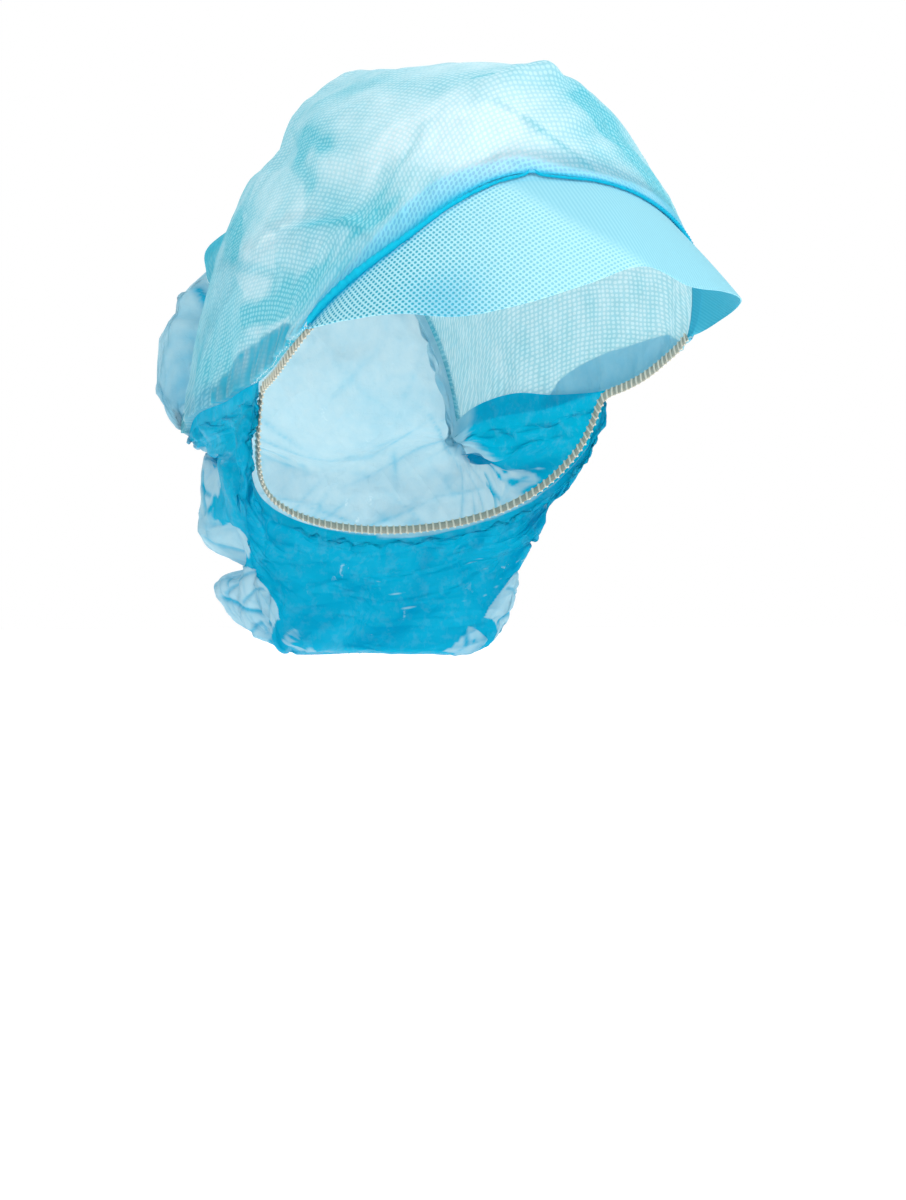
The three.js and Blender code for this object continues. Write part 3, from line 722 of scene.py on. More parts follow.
# Hairnet: a thin film sewn under the crown's edge, with a puff at the back and a hanging pouch.
netCut = {
    "inside": 1.5,
    "tuck": 6,
    "starts": [-6, 1, 4],
    # places and spans round half the loop: the crown's corner, its side, the ear, the nape
    "loop": {"corner": 0.4, "side": 0.2, "ear": 0.6, "nape": 0.4},
    "edgeDown": (0.48, 0.605),
    "napeFrom": 0.66,
    "napeDrop": 0.4,
    "folds": {
        "waves": 11, "depth": 3, "sway": (0.5, 7), "slow": (0.6, 0.4), "drift": (2, 1.7),
        "begin": (0.14, 0.32), "end": (0.8, 1),
    },
    "closeAt": (70.7, -126.6),
    # lift, size and seed of the closed edge's unevenness
    "closeUneven": (1.5, 26, 31),
    "columns": 340,
    "rows": 248,
    "coarse": (124, 90),
    "around": 400,
    "length": 240,
    "billow": {
        "frames": 26, "gravity": 0.1, "loose": 0.03, "heldAbove": (0.13, 0.2), "heldBelow": (0.96, 1.0),
        "levels": 50, "most": 2.4,
        "cloth": {
            "quality": 5, "mass": 0.05, "tension_stiffness": 8, "compression_stiffness": 8,
            "shear_stiffness": 3, "bending_stiffness": 0.05, "air_damping": 2, "shrink_min": -0.1,
            "pin_stiffness": 1.0,
        },
    },
    # the neck under the puff is drawn smooth
    "neck": {"down": 0.44, "high": 0.06, "round": 0.36, "wide": 0.2, "calm": 0.9},
    "creases": {
        "seed": 5, "count": 420, "from": 0.12, "spread": 0.8, "sizes": (0.5, 1.5), "long": 17, "wide": 1.9,
        "height": 1.0, "mark": 0.8, "markFrom": (0.26, 0.4), "lessWhereDeep": 0.6,
    },
    "lineHeight": 0.9,
    "reliefFrom": (0.1, 0.2),
    "reliefTo": (0.93, 1),
    "pleats": {
        "waves": 58, "sway": (0.7, 40), "depth": 1.0, "down": 0.15, "reach": 0.16, "toneReach": 0.12,
        "least": 0.3, "atNape": 0.7, "napeBetween": (0.55, 0.7), "atBack": 0.6, "backBetween": (0.06, 0.16),
    },
    "uneven": {"height": 0.1, "onPuff": 0.2, "below": (0.42, 0.5), "sizes": [(24, 21), (8, 22)]},
    "deepFrom": (0.4, 0.52),
    # how much of the blue each kind of mark and of layer brings
    "marks": {"creases": 0.42, "lines": 0.85, "pleats": 0.22},
    "bunch": {"least": 0.06, "some": 0.3, "between": (0.05, 0.45), "deep": 0.64},
    "farSide": 0.7,
    # part of the way round from the back to the nape and down, at both ends, half width, depth of colour
    "tones": [
        (0.72, 0.3, 0.76, 0.95, 44, 1.0),
        (0.5, 0.02, 0.56, 0.3, 24, 0.9),
        (0.56, 0.2, 0.56, 0.5, 20, 0.6),
        (0.55, 0.66, 0.56, 0.7, 10, 0.5),
        (0.5, 0.6, 0.6, 0.61, 8, 0.6),
        (0.45, 0.74, 0.7, 0.71, 5, 0.5),
        (1.0, 0.3, 1.0, 1.0, 32, 0.85),
        (0.26, 0.14, 0.34, 0.21, 9, 0.28),
        (0.2, 0.19, 0.22, 0.17, 2.5, 0.5),
        (0.3, 0.46, 0.45, 0.44, 8, 0.6),
        (0.25, 0.75, 0.42, 0.75, 6, 0.5),
        (0.12, 0.4, 0.3, 0.38, 13, 0.33),
        (0.66, 0.08, 1.0, 0.1, 26, 0.8),
    ],
    # depth, softness of the edge, and corners of the pale single panes of the lobes
    "panes": [
        (-1.0, 0.8, [(0.28, 0.47), (0.39, 0.5), (0.45, 0.54), (0.42, 0.6), (0.28, 0.6)]),
        (-1.0, 0.8, [(0.3, 0.62), (0.69, 0.65), (0.63, 0.71), (0.5, 0.73), (0.3, 0.73)]),
        (-1.2, 0.8, [(0.3, 0.77), (0.7, 0.73), (0.74, 0.77), (0.79, 0.83), (0.6, 0.93), (0.3, 0.94)]),
        (-0.8, 0.8, [(0.76, 0.9), (0.83, 0.85), (0.86, 0.93), (0.78, 0.95)]),
    ],
    # the columns of the tones for the creases of the panes
    "lines": [
        (0.38, 0.82, 0.69, 0.87, 1.7, 1.0),
        (0.41, 0.81, 0.73, 0.72, 1.3, 0.7),
        (0.42, 0.77, 0.43, 0.79, 1.2, 0.8),
        (0.54, 0.83, 0.71, 0.77, 1.1, 0.7),
        (0.45, 0.92, 0.59, 0.88, 1.3, 0.9),
        (0.59, 0.89, 0.55, 0.92, 1.1, 0.7),
        (0.42, 0.64, 0.5, 0.72, 1.1, 0.7),
        (0.37, 0.55, 0.43, 0.57, 1.3, 0.8),
        (0.37, 0.5, 0.43, 0.49, 1.1, 0.7),
        (0.38, 0.53, 0.42, 0.6, 1.3, 0.8),
        (0.84, 0.86, 0.82, 0.91, 1.3, 1.0),
    ],
    # back, shoulder, corner, ear, jaw, nape of each section, from the crown's edge down
    "sections": [
        [(0, 124, 34), (52, 120.5, 18.5), (61, 100, -41), (78, 15, -33), (61, 44, -69), (0, 57, -83)],
        [(0, 134, 8), (61, 120, 0), (60, 97, -42.5), (77, 21, -40), (60, 46, -73), (0, 59, -86)],
        [(0, 133, -18), (62, 118, -19), (58, 92, -45), (76, 27, -46), (59, 47, -77), (0, 60, -89)],
        [(0, 119, -41), (60, 113, -33), (56, 87, -48), (74, 33, -52), (57, 48, -80), (0, 61, -92)],
        [(0, 106, -50), (48, 94, -43), (60, 80, -50), (72, 38, -59), (55, 49, -84), (0, 62, -95)],
        [(0, 106, -62), (51, 93, -61), (63.5, 75.5, -63), (69, 43, -67), (53, 50, -88), (0, 62, -98)],
        [(0, 102, -76), (51.5, 92.5, -79), (63, 76.5, -79), (65, 47, -76), (50, 51, -93), (0, 61, -102)],
        [(0, 92, -88), (36.5, 77, -89.5), (48.5, 62, -90.5), (60, 49, -87), (46, 51, -99), (0, 60, -107)],
        [(0, 100, -96), (50, 92, -95.5), (60, 71, -96.5), (58, 50, -97), (44, 51, -106), (0, 59, -112)],
        [(0, 97, -107), (46.5, 87, -107.5), (56.5, 70, -108.5), (55, 51, -109), (42, 51, -114),
         (0, 58, -118)],
        [(0, 89, -114), (40, 83, -113), (49, 68, -113.5), (47, 54, -121), (36, 53, -123), (0, 59, -123)],
        [(0, 71.5, -125), (17, 71.5, -125), (28, 69, -126), (31, 66.5, -126.5), (18, 69.5, -126.5),
         (0, 70, -126)],
    ],
}


netScale = (netCut["around"] / 2, netCut["length"])


def netStart(half, beyond):
    inside, loop = -netCut["inside"], netCut["loop"]
    # the edge inside the crown runs down to the ear
    down = 1 - smoothstep(half, *netCut["edgeDown"])
    reach = beyond * down if beyond < 0 else np.full(half.shape, beyond)
    acrossEnd = -1 - reach / crownScale[0]
    alongEnd = 1 + beyond / crownScale[1]
    arch = crownOffset(acrossEnd * np.clip(half / loop["corner"], 0, 1), alongEnd, inside)
    toEar = np.clip((half - loop["corner"]) / loop["side"], 0, 1)
    side = crownOffset(acrossEnd, alongEnd + (elasticCut["earAlong"] - alongEnd) * toEar, inside)
    nape = napeLine(np.clip((half - loop["ear"]) / loop["nape"], 0, 1) * 0.5)
    nape[:, 2] -= netCut["napeDrop"] * (beyond + netCut["tuck"])
    blend = smoothstep(half, loop["ear"], netCut["napeFrom"])[:, None]
    return np.where(half[:, None] <= loop["corner"], arch, side * (1 - blend) + nape * blend)


def loopPoints(section, half):
    right = np.array(section, float)
    points = np.concatenate([right[1:2] * mirror, right, right[4:5] * mirror])
    spans = len(right) - 1
    i = np.clip(np.floor(half * spans).astype(int), 0, spans - 1)
    return catmullRom(*(points[i + k] for k in range(4)), (half * spans - i)[:, None]) * mirror


def netGrid(columns, rows):
    turn = np.linspace(0, 1, columns, endpoint=False)
    half = np.where(turn < 0.5, 2 * turn, 2 * (1 - turn))
    table = [netStart(half, reach) for reach in netCut["starts"]]
    table += [loopPoints(section, half) for section in netCut["sections"]]
    table = np.array(table)
    table[:, turn >= 0.5, 0] *= -1
    down = np.linspace(0, 1, rows)
    points = splineAt(table.reshape(len(table), -1), down).reshape(rows, columns, 3)
    return points, turn[None, :], half[None, :], down[:, None]


def gridNormals(points):
    du = np.roll(points, -1, 1) - np.roll(points, 1, 1)
    dv = np.gradient(points, axis=0)
    return unit(np.cross(du, dv))


def netPoints(columns, rows):
    points, turn, half, down = netGrid(columns, rows)
    folds = netCut["folds"]
    (even, slowly), (driftRound, driftDown), (sway, rate) = folds["slow"], folds["drift"], folds["sway"]
    begin = smoothstep(down, *folds["begin"])
    end = 1 - smoothstep(down, *folds["end"])
    slow = even + slowly * np.sin(tau * (driftRound * turn + driftDown * down))
    wave = np.sin(tau * (folds["waves"] * turn + sway * np.sin(rate * down)))
    out = folds["depth"] * begin * end * slow * wave
    return points + gridNormals(points) * out[..., None], turn, half, down


# Lets the film grow a little between its held edges, so that it buckles, and gives how far it moved.
def billow(points, down, settings):
    piece = sheetObject("film_trial", points, bpy.data.materials[0], closed=True)
    held = np.maximum(1 - smoothstep(down, *settings["heldAbove"]), smoothstep(down, *settings["heldBelow"]))
    held = np.broadcast_to(held + settings["loose"], points.shape[:2]).clip(0, 1)
    group = piece.vertex_groups.new(name="held")
    levels = np.round(held.ravel() * settings["levels"]).astype(int)
    for level in np.unique(levels[levels > 0]):
        group.add(np.flatnonzero(levels == level).tolist(), level / settings["levels"], "REPLACE")
    cloth = piece.modifiers.new("billow", "CLOTH")
    for key, value in settings["cloth"].items():
        setattr(cloth.settings, key, value)
    cloth.settings.vertex_group_mass = "held"
    cloth.settings.effector_weights.gravity = settings["gravity"]
    cloth.collision_settings.use_collision = False
    scene = bpy.context.scene
    for count in range(1, settings["frames"] + 1):
        scene.frame_set(count)
    graph = bpy.context.evaluated_depsgraph_get()
    moved = np.empty(points.size)
    piece.evaluated_get(graph).data.vertices.foreach_get("co", moved)
    scene.frame_set(1)
    mesh = piece.data
    bpy.data.objects.remove(piece)
    bpy.data.meshes.remove(mesh)
    shift = moved.reshape(points.shape) / mm - points
    length = np.linalg.norm(shift, axis=-1, keepdims=True)
    print(f"film moved by {length.mean():.2f} mm on average, {length.max():.2f} at most")
    return shift * settings["most"] * np.tanh(length / settings["most"]) / np.maximum(length, 1e-6)


def finer(grid, columns, rows):
    wide = splineAt(grid.reshape(len(grid), -1), np.linspace(0, 1, rows)).reshape(rows, grid.shape[1], 3)
    around = np.concatenate([wide[:, -2:], wide, wide[:, :3]], 1).swapaxes(0, 1)
    share = (2 + np.arange(columns) * grid.shape[1] / columns) / (len(around) - 1)
    return splineAt(around.reshape(len(around), -1), share).reshape(columns, rows, 3).swapaxes(0, 1)


# Sharp creases at random places over the film, mostly running down it.
def filmCreases(turn, down, settings):
    rng = np.random.default_rng(settings["seed"])
    rise = np.zeros(np.broadcast(turn, down).shape)
    line = np.zeros_like(rise)
    for _ in range(settings["count"]):
        x = ((turn - rng.uniform() + 0.5) % 1 - 0.5) * netCut["around"]
        y = (down - rng.uniform(settings["from"], 1)) * netCut["length"]
        turned = rng.normal(0, settings["spread"])
        sideways = x * math.cos(turned) + y * math.sin(turned)
        lengthways = y * math.cos(turned) - x * math.sin(turned)
        size = rng.uniform(*settings["sizes"])
        envelope = fade(lengthways, settings["long"] * size)
        profile = envelope * np.exp(-np.abs(sideways) / (settings["wide"] * size))
        rise += rng.choice([-1, 1]) * settings["height"] * size * profile
        line = np.maximum(line, envelope * np.exp(-np.abs(sideways) / settings["mark"]))
    return rise, line


# How deep the film's colour is, from single panes to bunched layers.
def filmTone(turn, half, down):
    tone = strokes(half, down, netCut["tones"], netScale)
    tone += facetTone(*np.broadcast_arrays(half, down), netCut["panes"], netScale)
    tone *= np.where(turn < 0.5, 1, netCut["farSide"])
    uneven = netCut["uneven"]
    puff = uneven["onPuff"]
    height = uneven["height"] * (puff + (1 - puff) * smoothstep(down, *uneven["below"]))
    for size, seed in uneven["sizes"]:
        tone += height * ripples(turn * netCut["around"], down * netCut["length"], size, seed)
    return tone


def makeHairnet(material):
    columns, rows = netCut["columns"], netCut["rows"]
    neck, pleats, creases = netCut["neck"], netCut["pleats"], netCut["creases"]
    points, turn, half, down = netPoints(columns, rows)
    atNeck = fade(down - neck["down"], neck["high"]) * fade(half - neck["round"], neck["wide"])
    calm = 1 - neck["calm"] * atNeck
    coarse, _, _, coarseDown = netPoints(*netCut["coarse"])
    points += finer(billow(coarse, coarseDown, netCut["billow"]), columns, rows) * calm[..., None]
    tone = filmTone(turn, half, down)
    deep = smoothstep(tone, *netCut["deepFrom"])
    rise, line = filmCreases(turn, down, creases)
    line *= smoothstep(down, *creases["markFrom"])
    drawn = strokes(half, down, netCut["lines"], netScale)
    rise = rise * (1 - creases["lessWhereDeep"] * deep) * calm + netCut["lineHeight"] * drawn
    wave = swayed(pleats, turn)
    strong = pleats["least"] + pleats["atNape"] * smoothstep(half, *pleats["napeBetween"])
    strong = strong + pleats["atBack"] * (1 - smoothstep(half, *pleats["backBetween"]))
    fromHem = down - pleats["down"]
    rise += pleats["depth"] * wave * fade(fromHem, pleats["reach"]) * strong
    ends = smoothstep(down, *netCut["reliefFrom"]) * (1 - smoothstep(down, *netCut["reliefTo"]))
    points += gridNormals(points) * (rise * ends)[..., None]
    lift, size, seed = netCut["closeUneven"]
    closing = points[-1:].copy()
    closing[..., 1:] = netCut["closeAt"]
    closing[..., 2] += lift + ripples(closing[..., 0], 0, size, seed)
    points = np.concatenate([points, (points[-1:] + closing) / 2, closing])
    marks, layers = netCut["marks"], netCut["bunch"]
    gathers = (0.5 + 0.5 * wave) * fade(fromHem, pleats["toneReach"])
    line = np.maximum(marks["creases"] * line, marks["lines"] * drawn)
    line = np.maximum(line, marks["pleats"] * gathers) * (1 - deep)
    bunch = layers["least"] + layers["some"] * smoothstep(tone, *layers["between"])
    bunch = np.clip(bunch + layers["deep"] * deep + line, 0, 1)
    bunch = np.concatenate([bunch, bunch[-1:], bunch[-1:]])
    piece = sheetObject("hairnet_film", points, material, closed=True, values={"bunch": bunch})
    print("hairnet", len(piece.data.polygons), "faces")
    return piece


# The film's upper edge, sewn up inside the crown's sides with the elastic.
def makeFacing(name, side, material):
    alongSteps, riseSteps = facingCut["steps"]
    rightTone, leftTone = facingCut["tone"]
    along = np.linspace(facingCut["from"], facingCut["to"], alongSteps)[None, ::side]
    rise = np.linspace(0, 1, riseSteps)[:, None]
    across = side * (1 - rise * facingDepth(along) / crownScale[0])
    points = crownPoint(across, np.broadcast_to(along, across.shape), facingCut["under"])
    return sheetObject(name, points, material, values={"bunch": rightTone if side < 0 else leftTone})


# Lays short threads along a path, each standing off it a little like a stitch.
def threadTree():
    tree = bpy.data.node_groups.new("laid threads", "GeometryNodeTree")
    sockets = tree.interface
    sockets.new_socket("Path", in_out="INPUT", socket_type="NodeSocketGeometry")
    for name in ("Spacing", "Length", "Radius", "Lift", "Turn", "Zigzag"):
        sockets.new_socket(name, in_out="INPUT", socket_type="NodeSocketFloat")
    sockets.new_socket("Material", in_out="INPUT", socket_type="NodeSocketMaterial")
    sockets.new_socket("Threads", in_out="OUTPUT", socket_type="NodeSocketGeometry")
    given = addNode(tree, "NodeGroupInput", {}).outputs
    curve = addNode(tree, "GeometryNodeMeshToCurve", {"Mesh": given["Path"]})
    spaced = addNode(tree, "GeometryNodeResampleCurve", {
        "mode": "LENGTH", "Curve": curve, "Length": given["Spacing"]})
    before = addNode(tree, "ShaderNodeMath", {"operation": "MULTIPLY", 0: given["Length"], 1: -0.5})
    after = addNode(tree, "ShaderNodeMath", {"operation": "MULTIPLY", 0: given["Length"], 1: 0.5})
    first = addNode(tree, "ShaderNodeCombineXYZ", {"X": before})
    raised = addNode(tree, "ShaderNodeCombineXYZ", {"Z": given["Lift"]})
    last = addNode(tree, "ShaderNodeCombineXYZ", {"X": after})
    bow = addNode(tree, "GeometryNodeCurveQuadraticBezier", {
        "Resolution": 5, "Start": first, "Middle": raised, "End": last})
    ring = addNode(tree, "GeometryNodeCurvePrimitiveCircle", {"Resolution": 5, "Radius": given["Radius"]})
    thread = addNode(tree, "GeometryNodeCurveToMesh", {
        "Fill Caps": True, "Curve": bow, "Profile Curve": ring})
    tangent = addNode(tree, "GeometryNodeInputTangent", {})
    facing = addNode(tree, "GeometryNodeInputNamedAttribute", {"data_type": "FLOAT_VECTOR", "Name": "facing"})
    ahead = addNode(tree, "FunctionNodeAlignRotationToVector", {"axis": "X", "Vector": tangent})
    stand = addNode(tree, "FunctionNodeAlignRotationToVector", {
        "axis": "Z", "pivot_axis": "X", "Rotation": ahead, "Vector": facing})
    index = addNode(tree, "GeometryNodeInputIndex", {})
    parity = addNode(tree, "ShaderNodeMath", {"operation": "MODULO", 0: index, 1: 2.0})
    swing = addNode(tree, "ShaderNodeMath", {"operation": "SUBTRACT", 0: parity, 1: 0.5})
    angle = addNode(tree, "ShaderNodeMath", {
        "operation": "MULTIPLY_ADD", 0: swing, 1: given["Zigzag"], 2: given["Turn"]})
    euler = addNode(tree, "ShaderNodeCombineXYZ", {"Z": angle})
    lean = addNode(tree, "FunctionNodeEulerToRotation", {"Euler": euler})
    rotation = addNode(tree, "FunctionNodeRotateRotation", {
        "rotation_space": "LOCAL", "Rotation": stand, "Rotate By": lean})
    placed = addNode(tree, "GeometryNodeInstanceOnPoints", {
        "Points": spaced, "Instance": thread, "Rotation": rotation})
    real = addNode(tree, "GeometryNodeRealizeInstances", {"Geometry": placed})
    smooth = addNode(tree, "GeometryNodeSetShadeSmooth", {"Geometry": real})
    done = addNode(tree, "GeometryNodeSetMaterial", {"Geometry": smooth, "Material": given["Material"]})
    addNode(tree, "NodeGroupOutput", {"Threads": done})
    return tree


# Sizes in mm, angles in degrees. The second line of each says where its path runs.
threadCut = {
    "elastic_ribs": {
        "Spacing": 2.9, "Length": 3.4, "Radius": 0.46, "Lift": 0.4, "Turn": 76, "Zigzag": 4,
        "sunk": 0.15},
    "edge_overlock": {
        "Spacing": 1.5, "Length": 1.2, "Radius": 0.11, "Lift": 0.3, "Turn": 40, "Zigzag": 30,
        "along": (0.012, 0.48), "steps": 200, "out": 0.1, "turned": 0.5},
    "seam_stitches": {
        "Spacing": 2.1, "Length": 1.5, "Radius": 0.13, "Lift": 0.4, "Turn": 15, "Zigzag": 10,
        "across": (-0.97, 0.97), "steps": 320, "out": 1.1},
    "hem_stitches": {
        "Spacing": 3.0, "Length": 2.2, "Radius": 0.16, "Lift": 0.5, "Turn": 0, "Zigzag": 8,
        "out": 0.05},
}


def layThreads(tree, name, cut, material, line, facing):
    mesh = bpy.data.meshes.new("thread_path")
    mesh.from_pydata((line * mm).tolist(), [(k, k + 1) for k in range(len(line) - 1)], [])
    field = mesh.attributes.new("facing", "FLOAT_VECTOR", "POINT")
    field.data.foreach_set("vector", facing.ravel().astype(np.float32))
    path = addObject("thread_path", mesh)
    modifier = path.modifiers.new("threads", "NODES")
    modifier.node_group = tree
    for socket in tree.interface.items_tree:
        if socket.name in cut:
            measure = math.pi / 180 if socket.name in ("Turn", "Zigzag") else mm
            modifier[socket.identifier] = cut[socket.name] * measure
        if socket.name == "Material":
            modifier[socket.identifier] = material
    graph = bpy.context.evaluated_depsgraph_get()
    threads = bpy.data.meshes.new_from_object(path.evaluated_get(graph), depsgraph=graph)
    bpy.data.objects.remove(path)
    bpy.data.meshes.remove(mesh)
    print(name, len(threads.polygons), "faces")
    return addObject(name, threads)


def makeThreads(white, blue, yarn):
    ribs, overlock = threadCut["elastic_ribs"], threadCut["edge_overlock"]
    stitches, hem = threadCut["seam_stitches"], threadCut["hem_stitches"]
    paths = []
    line, facing = elasticLine()
    reach = elasticCut["thickness"] / 2 - ribs["sunk"]
    for name, side in (("elastic_ribs_outer", 1), ("elastic_ribs_inner", -1)):
        paths.append((name, ribs, yarn, line + facing * reach * side, facing * side))
    along = np.linspace(*overlock["along"], overlock["steps"])
    for name, side in (("edge_overlock_right", -1.0), ("edge_overlock_left", 1.0)):
        across = np.full(len(along), side)
        line = crownPoint(across, along, -overlock["out"], overlock["turned"])
        paths.append((name, overlock, white, line, normalAt(crownForm, across, along)))
    across = np.linspace(*stitches["across"], stitches["steps"])
    line, out = seamLine(across)
    thick = curveAt(seamCut["thickness"], (across + 1) / 2)[:, None]
    paths.append(("seam_stitches", stitches, blue, line + out * thick * stitches["out"], out))
    along = np.full(len(across), 1 - crownCut["hem"]["width"] / crownScale[1])
    line = crownPoint(across, along, -hem["out"])
    paths.append(("hem_stitches", hem, white, line, normalAt(crownForm, across, along)))
    tree = threadTree()
    return [layThreads(tree, *path) for path in paths]


# Thin cloth with a relief: it throws light back and lets a share of it through.
def thinCloth(tree, tint, sheer, relief, finish):
    bump = addNode(tree, "ShaderNodeBump", relief)
    surface = addNode(tree, "ShaderNodeBsdfPrincipled", {"Base Color": tint, "Normal": bump, **finish})
    through = addNode(tree, "ShaderNodeBsdfTranslucent", {"Color": tint, "Normal": bump})
    return addNode(tree, "ShaderNodeMixShader", {0: sheer, 1: surface, 2: through})


# Embossed spunbond polypropylene: matt, thin enough to see through, with small fused squares.
def spunbondCrown():
    material, tree = newMaterial("embossed spunbond, crown")
    emboss = (1.8, 1.9, 1)  # real pitch is near 1.7 mm, drawn a little coarser so that it shows
    cloth = addNode(tree, "ShaderNodeUVMap", {"uv_map": "cloth"})
    squares = addNode(tree, "ShaderNodeMapping", {"vector_type": "TEXTURE", "Vector": cloth, "Scale": emboss})
    cells = addNode(tree, "ShaderNodeTexVoronoi", {
        "voronoi_dimensions": "2D", "Vector": squares, "Scale": 1.0, "Randomness": 0.18})
    dots = addNode(tree, "ShaderNodeMapRange", {
        "interpolation_type": "SMOOTHSTEP", "Value": cells, "From Min": 0.46, "From Max": 0.24})
    parts = [
        addNode(tree, "ShaderNodeAttribute", {"attribute_name": name}).outputs["Fac"]
        for name in ("toneAndShading", "lined", "deep", "foldShade")]
    toneAndShading, lined, deep, foldShade = parts
    # where the film lies close behind it the squares hardly show
    plain = addNode(tree, "ShaderNodeMath", {"operation": "MULTIPLY_ADD", 0: lined, 1: -0.85, 2: 1.0})
    shown = addNode(tree, "ShaderNodeMath", {"operation": "MULTIPLY", 0: dots, 1: plain})
    place = addNode(tree, "ShaderNodeTexCoord", {}).outputs["Object"]
    cloud = addNode(tree, "ShaderNodeTexNoise", {
        "Vector": place, "Scale": 260.0, "Detail": 5.0, "Roughness": 0.62})
    # between the squares, then on them: plain, and the colour that each part brings; the pale part is painted
    # light and shade, the fold part painted shade of the seam's groove over the doubled cloth
    tints = []
    for plainColour, *colours in (
        ("#50b8ca", "#d6edf1", "#40bed5", "#92e4f8", "#24c0e6"),
        ("#8cd8e3", "#f6fcfd", "#50c4d8", "#28aede", "#10b0da"),
    ):
        tint = plainColour
        for part, colour in zip(parts, colours):
            tint = addNode(tree, "ShaderNodeMix", {"data_type": "RGBA", 0: part, 6: tint, 7: colour})
        tints.append(tint)
    tint = addNode(tree, "ShaderNodeMix", {"data_type": "RGBA", 0: shown, 6: tints[0], 7: tints[1]})
    # the cloth covers more where it is lined or folded over
    cover = addNode(tree, "ShaderNodeMath", {"operation": "MULTIPLY_ADD", 0: shown, 1: -0.06, 2: 0.71})
    for part, more in ((cloud, 0.2), (lined, 0.2), (deep, 0.5), (foldShade, 0.3)):
        cover = addNode(tree, "ShaderNodeMath", {
            "operation": "MULTIPLY_ADD", "use_clamp": True, 0: part, 1: more, 2: cover})
    relief = addNode(tree, "ShaderNodeMath", {"operation": "MULTIPLY_ADD", 0: shown, 1: -0.7, 2: cloud})
    # less light comes through where the turned edge of the peak lies behind the cloth
    lit = addNode(tree, "ShaderNodeMath", {
        "operation": "MULTIPLY_ADD", "use_clamp": True, 0: deep, 1: -0.38, 2: 0.42})
    body = thinCloth(tree, tint, lit, {"Height": relief, "Strength": 0.55, "Distance": 0.00025},
                     {"Roughness": 0.72, "Specular IOR Level": 0.3})
    clear = addNode(tree, "ShaderNodeBsdfTransparent", {"Color": "#d8f3f8"})
    whole = addNode(tree, "ShaderNodeMixShader", {0: cover, 1: clear, 2: body})
    addNode(tree, "ShaderNodeOutputMaterial", {"Surface": whole})
    return material


peakTop = {
    "ground": "#b6effa", "point": "#2cb0ce", "smooth": "#8ad0e2", "rib": "#9bdbea",
    "foldShade": "#0cb4de", "sheer": 0.15}
# the underside is the same cloth in a darker copy: painted shade
peakUnderShaded = {
    "ground": "#44b6d0", "point": "#2ba6c4", "smooth": "#2b9db8", "rib": "#38a8c0",
    "foldShade": "#1ba0c8", "sheer": 0.1}


# Heavier spunbond, calendered with staggered points: matt, nearly opaque.
def spunbondPeak(name, look):
    material, tree = newMaterial(name)
    emboss = 1.5  # real pitch is near 1.4 mm, drawn a little coarser so that it shows
    onceAnEmboss = 0.314 / emboss  # a wave texture of scale 0.314 repeats once a unit
    cloth = addNode(tree, "ShaderNodeUVMap", {"uv_map": "cloth"})
    turned = addNode(tree, "ShaderNodeMapping", {"Vector": cloth, "Rotation": (0, 0, math.radians(77))})
    cells = addNode(tree, "ShaderNodeTexVoronoi", {
        "voronoi_dimensions": "2D", "Vector": turned, "Scale": 1 / emboss, "Randomness": 0.0})
    dots = addNode(tree, "ShaderNodeMapRange", {
        "interpolation_type": "SMOOTHSTEP", "Value": cells, "From Min": 0.44, "From Max": 0.2})
    place = addNode(tree, "ShaderNodeTexCoord", {}).outputs["Object"]
    cloud = addNode(tree, "ShaderNodeTexNoise", {
        "Vector": place, "Scale": 300.0, "Detail": 5.0, "Roughness": 0.6})
    coarse, strong, deep = (
        addNode(tree, "ShaderNodeAttribute", {"attribute_name": part}).outputs["Fac"]
        for part in ("coarse", "strong", "deep"))
    points = addNode(tree, "ShaderNodeMath", {"operation": "MULTIPLY", 0: dots, 1: strong})
    # past the bend the rows run together into fine ribs
    ribs = addNode(tree, "ShaderNodeTexWave", {
        "Vector": cloth, "Scale": onceAnEmboss, "Distortion": 0.6, "Detail": 1.0}).outputs["Fac"]
    tint = look["smooth"]
    for part, colour in ((ribs, "rib"), (coarse, "ground"), (points, "point"), (deep, "foldShade")):
        tint = addNode(tree, "ShaderNodeMix", {"data_type": "RGBA", 0: part, 6: tint, 7: look[colour]})
    relief = addNode(tree, "ShaderNodeMath", {"operation": "MULTIPLY_ADD", 0: points, 1: -1.6, 2: cloud})
    body = thinCloth(tree, tint, look["sheer"], {"Height": relief, "Strength": 0.6, "Distance": 0.0004},
                     {"Roughness": 0.68, "Specular IOR Level": 0.3})
    addNode(tree, "ShaderNodeOutputMaterial", {"Surface": body})
    return material


# Matt fibre stuff, mottled between two colours: folded spunbond, or elastic braid of latex under yarn.
def mottledFibre(name, colours, grain, relief, finish):
    material, tree = newMaterial(name)
    place = addNode(tree, "ShaderNodeTexCoord", {}).outputs["Object"]
    cloud = addNode(tree, "ShaderNodeTexNoise", {"Vector": place, "Scale": grain, "Detail": 4.0})
    tint = addNode(tree, "ShaderNodeMix", {"data_type": "RGBA", 0: cloud, 6: colours[0], 7: colours[1]})
    bump = addNode(tree, "ShaderNodeBump", {"Height": cloud, **relief})
    surface = addNode(tree, "ShaderNodeBsdfPrincipled", {"Base Color": tint, "Normal": bump, **finish})
    addNode(tree, "ShaderNodeOutputMaterial", {"Surface": surface})
    return material


# Sewing thread or covering yarn: matt polyester in one colour.
def sewingThread(name, code):
    material, tree = newMaterial(name)
    surface = addNode(tree, "ShaderNodeBsdfPrincipled", {"Base Color": code, "Roughness": 0.6})
    addNode(tree, "ShaderNodeOutputMaterial", {"Surface": surface})
    return material


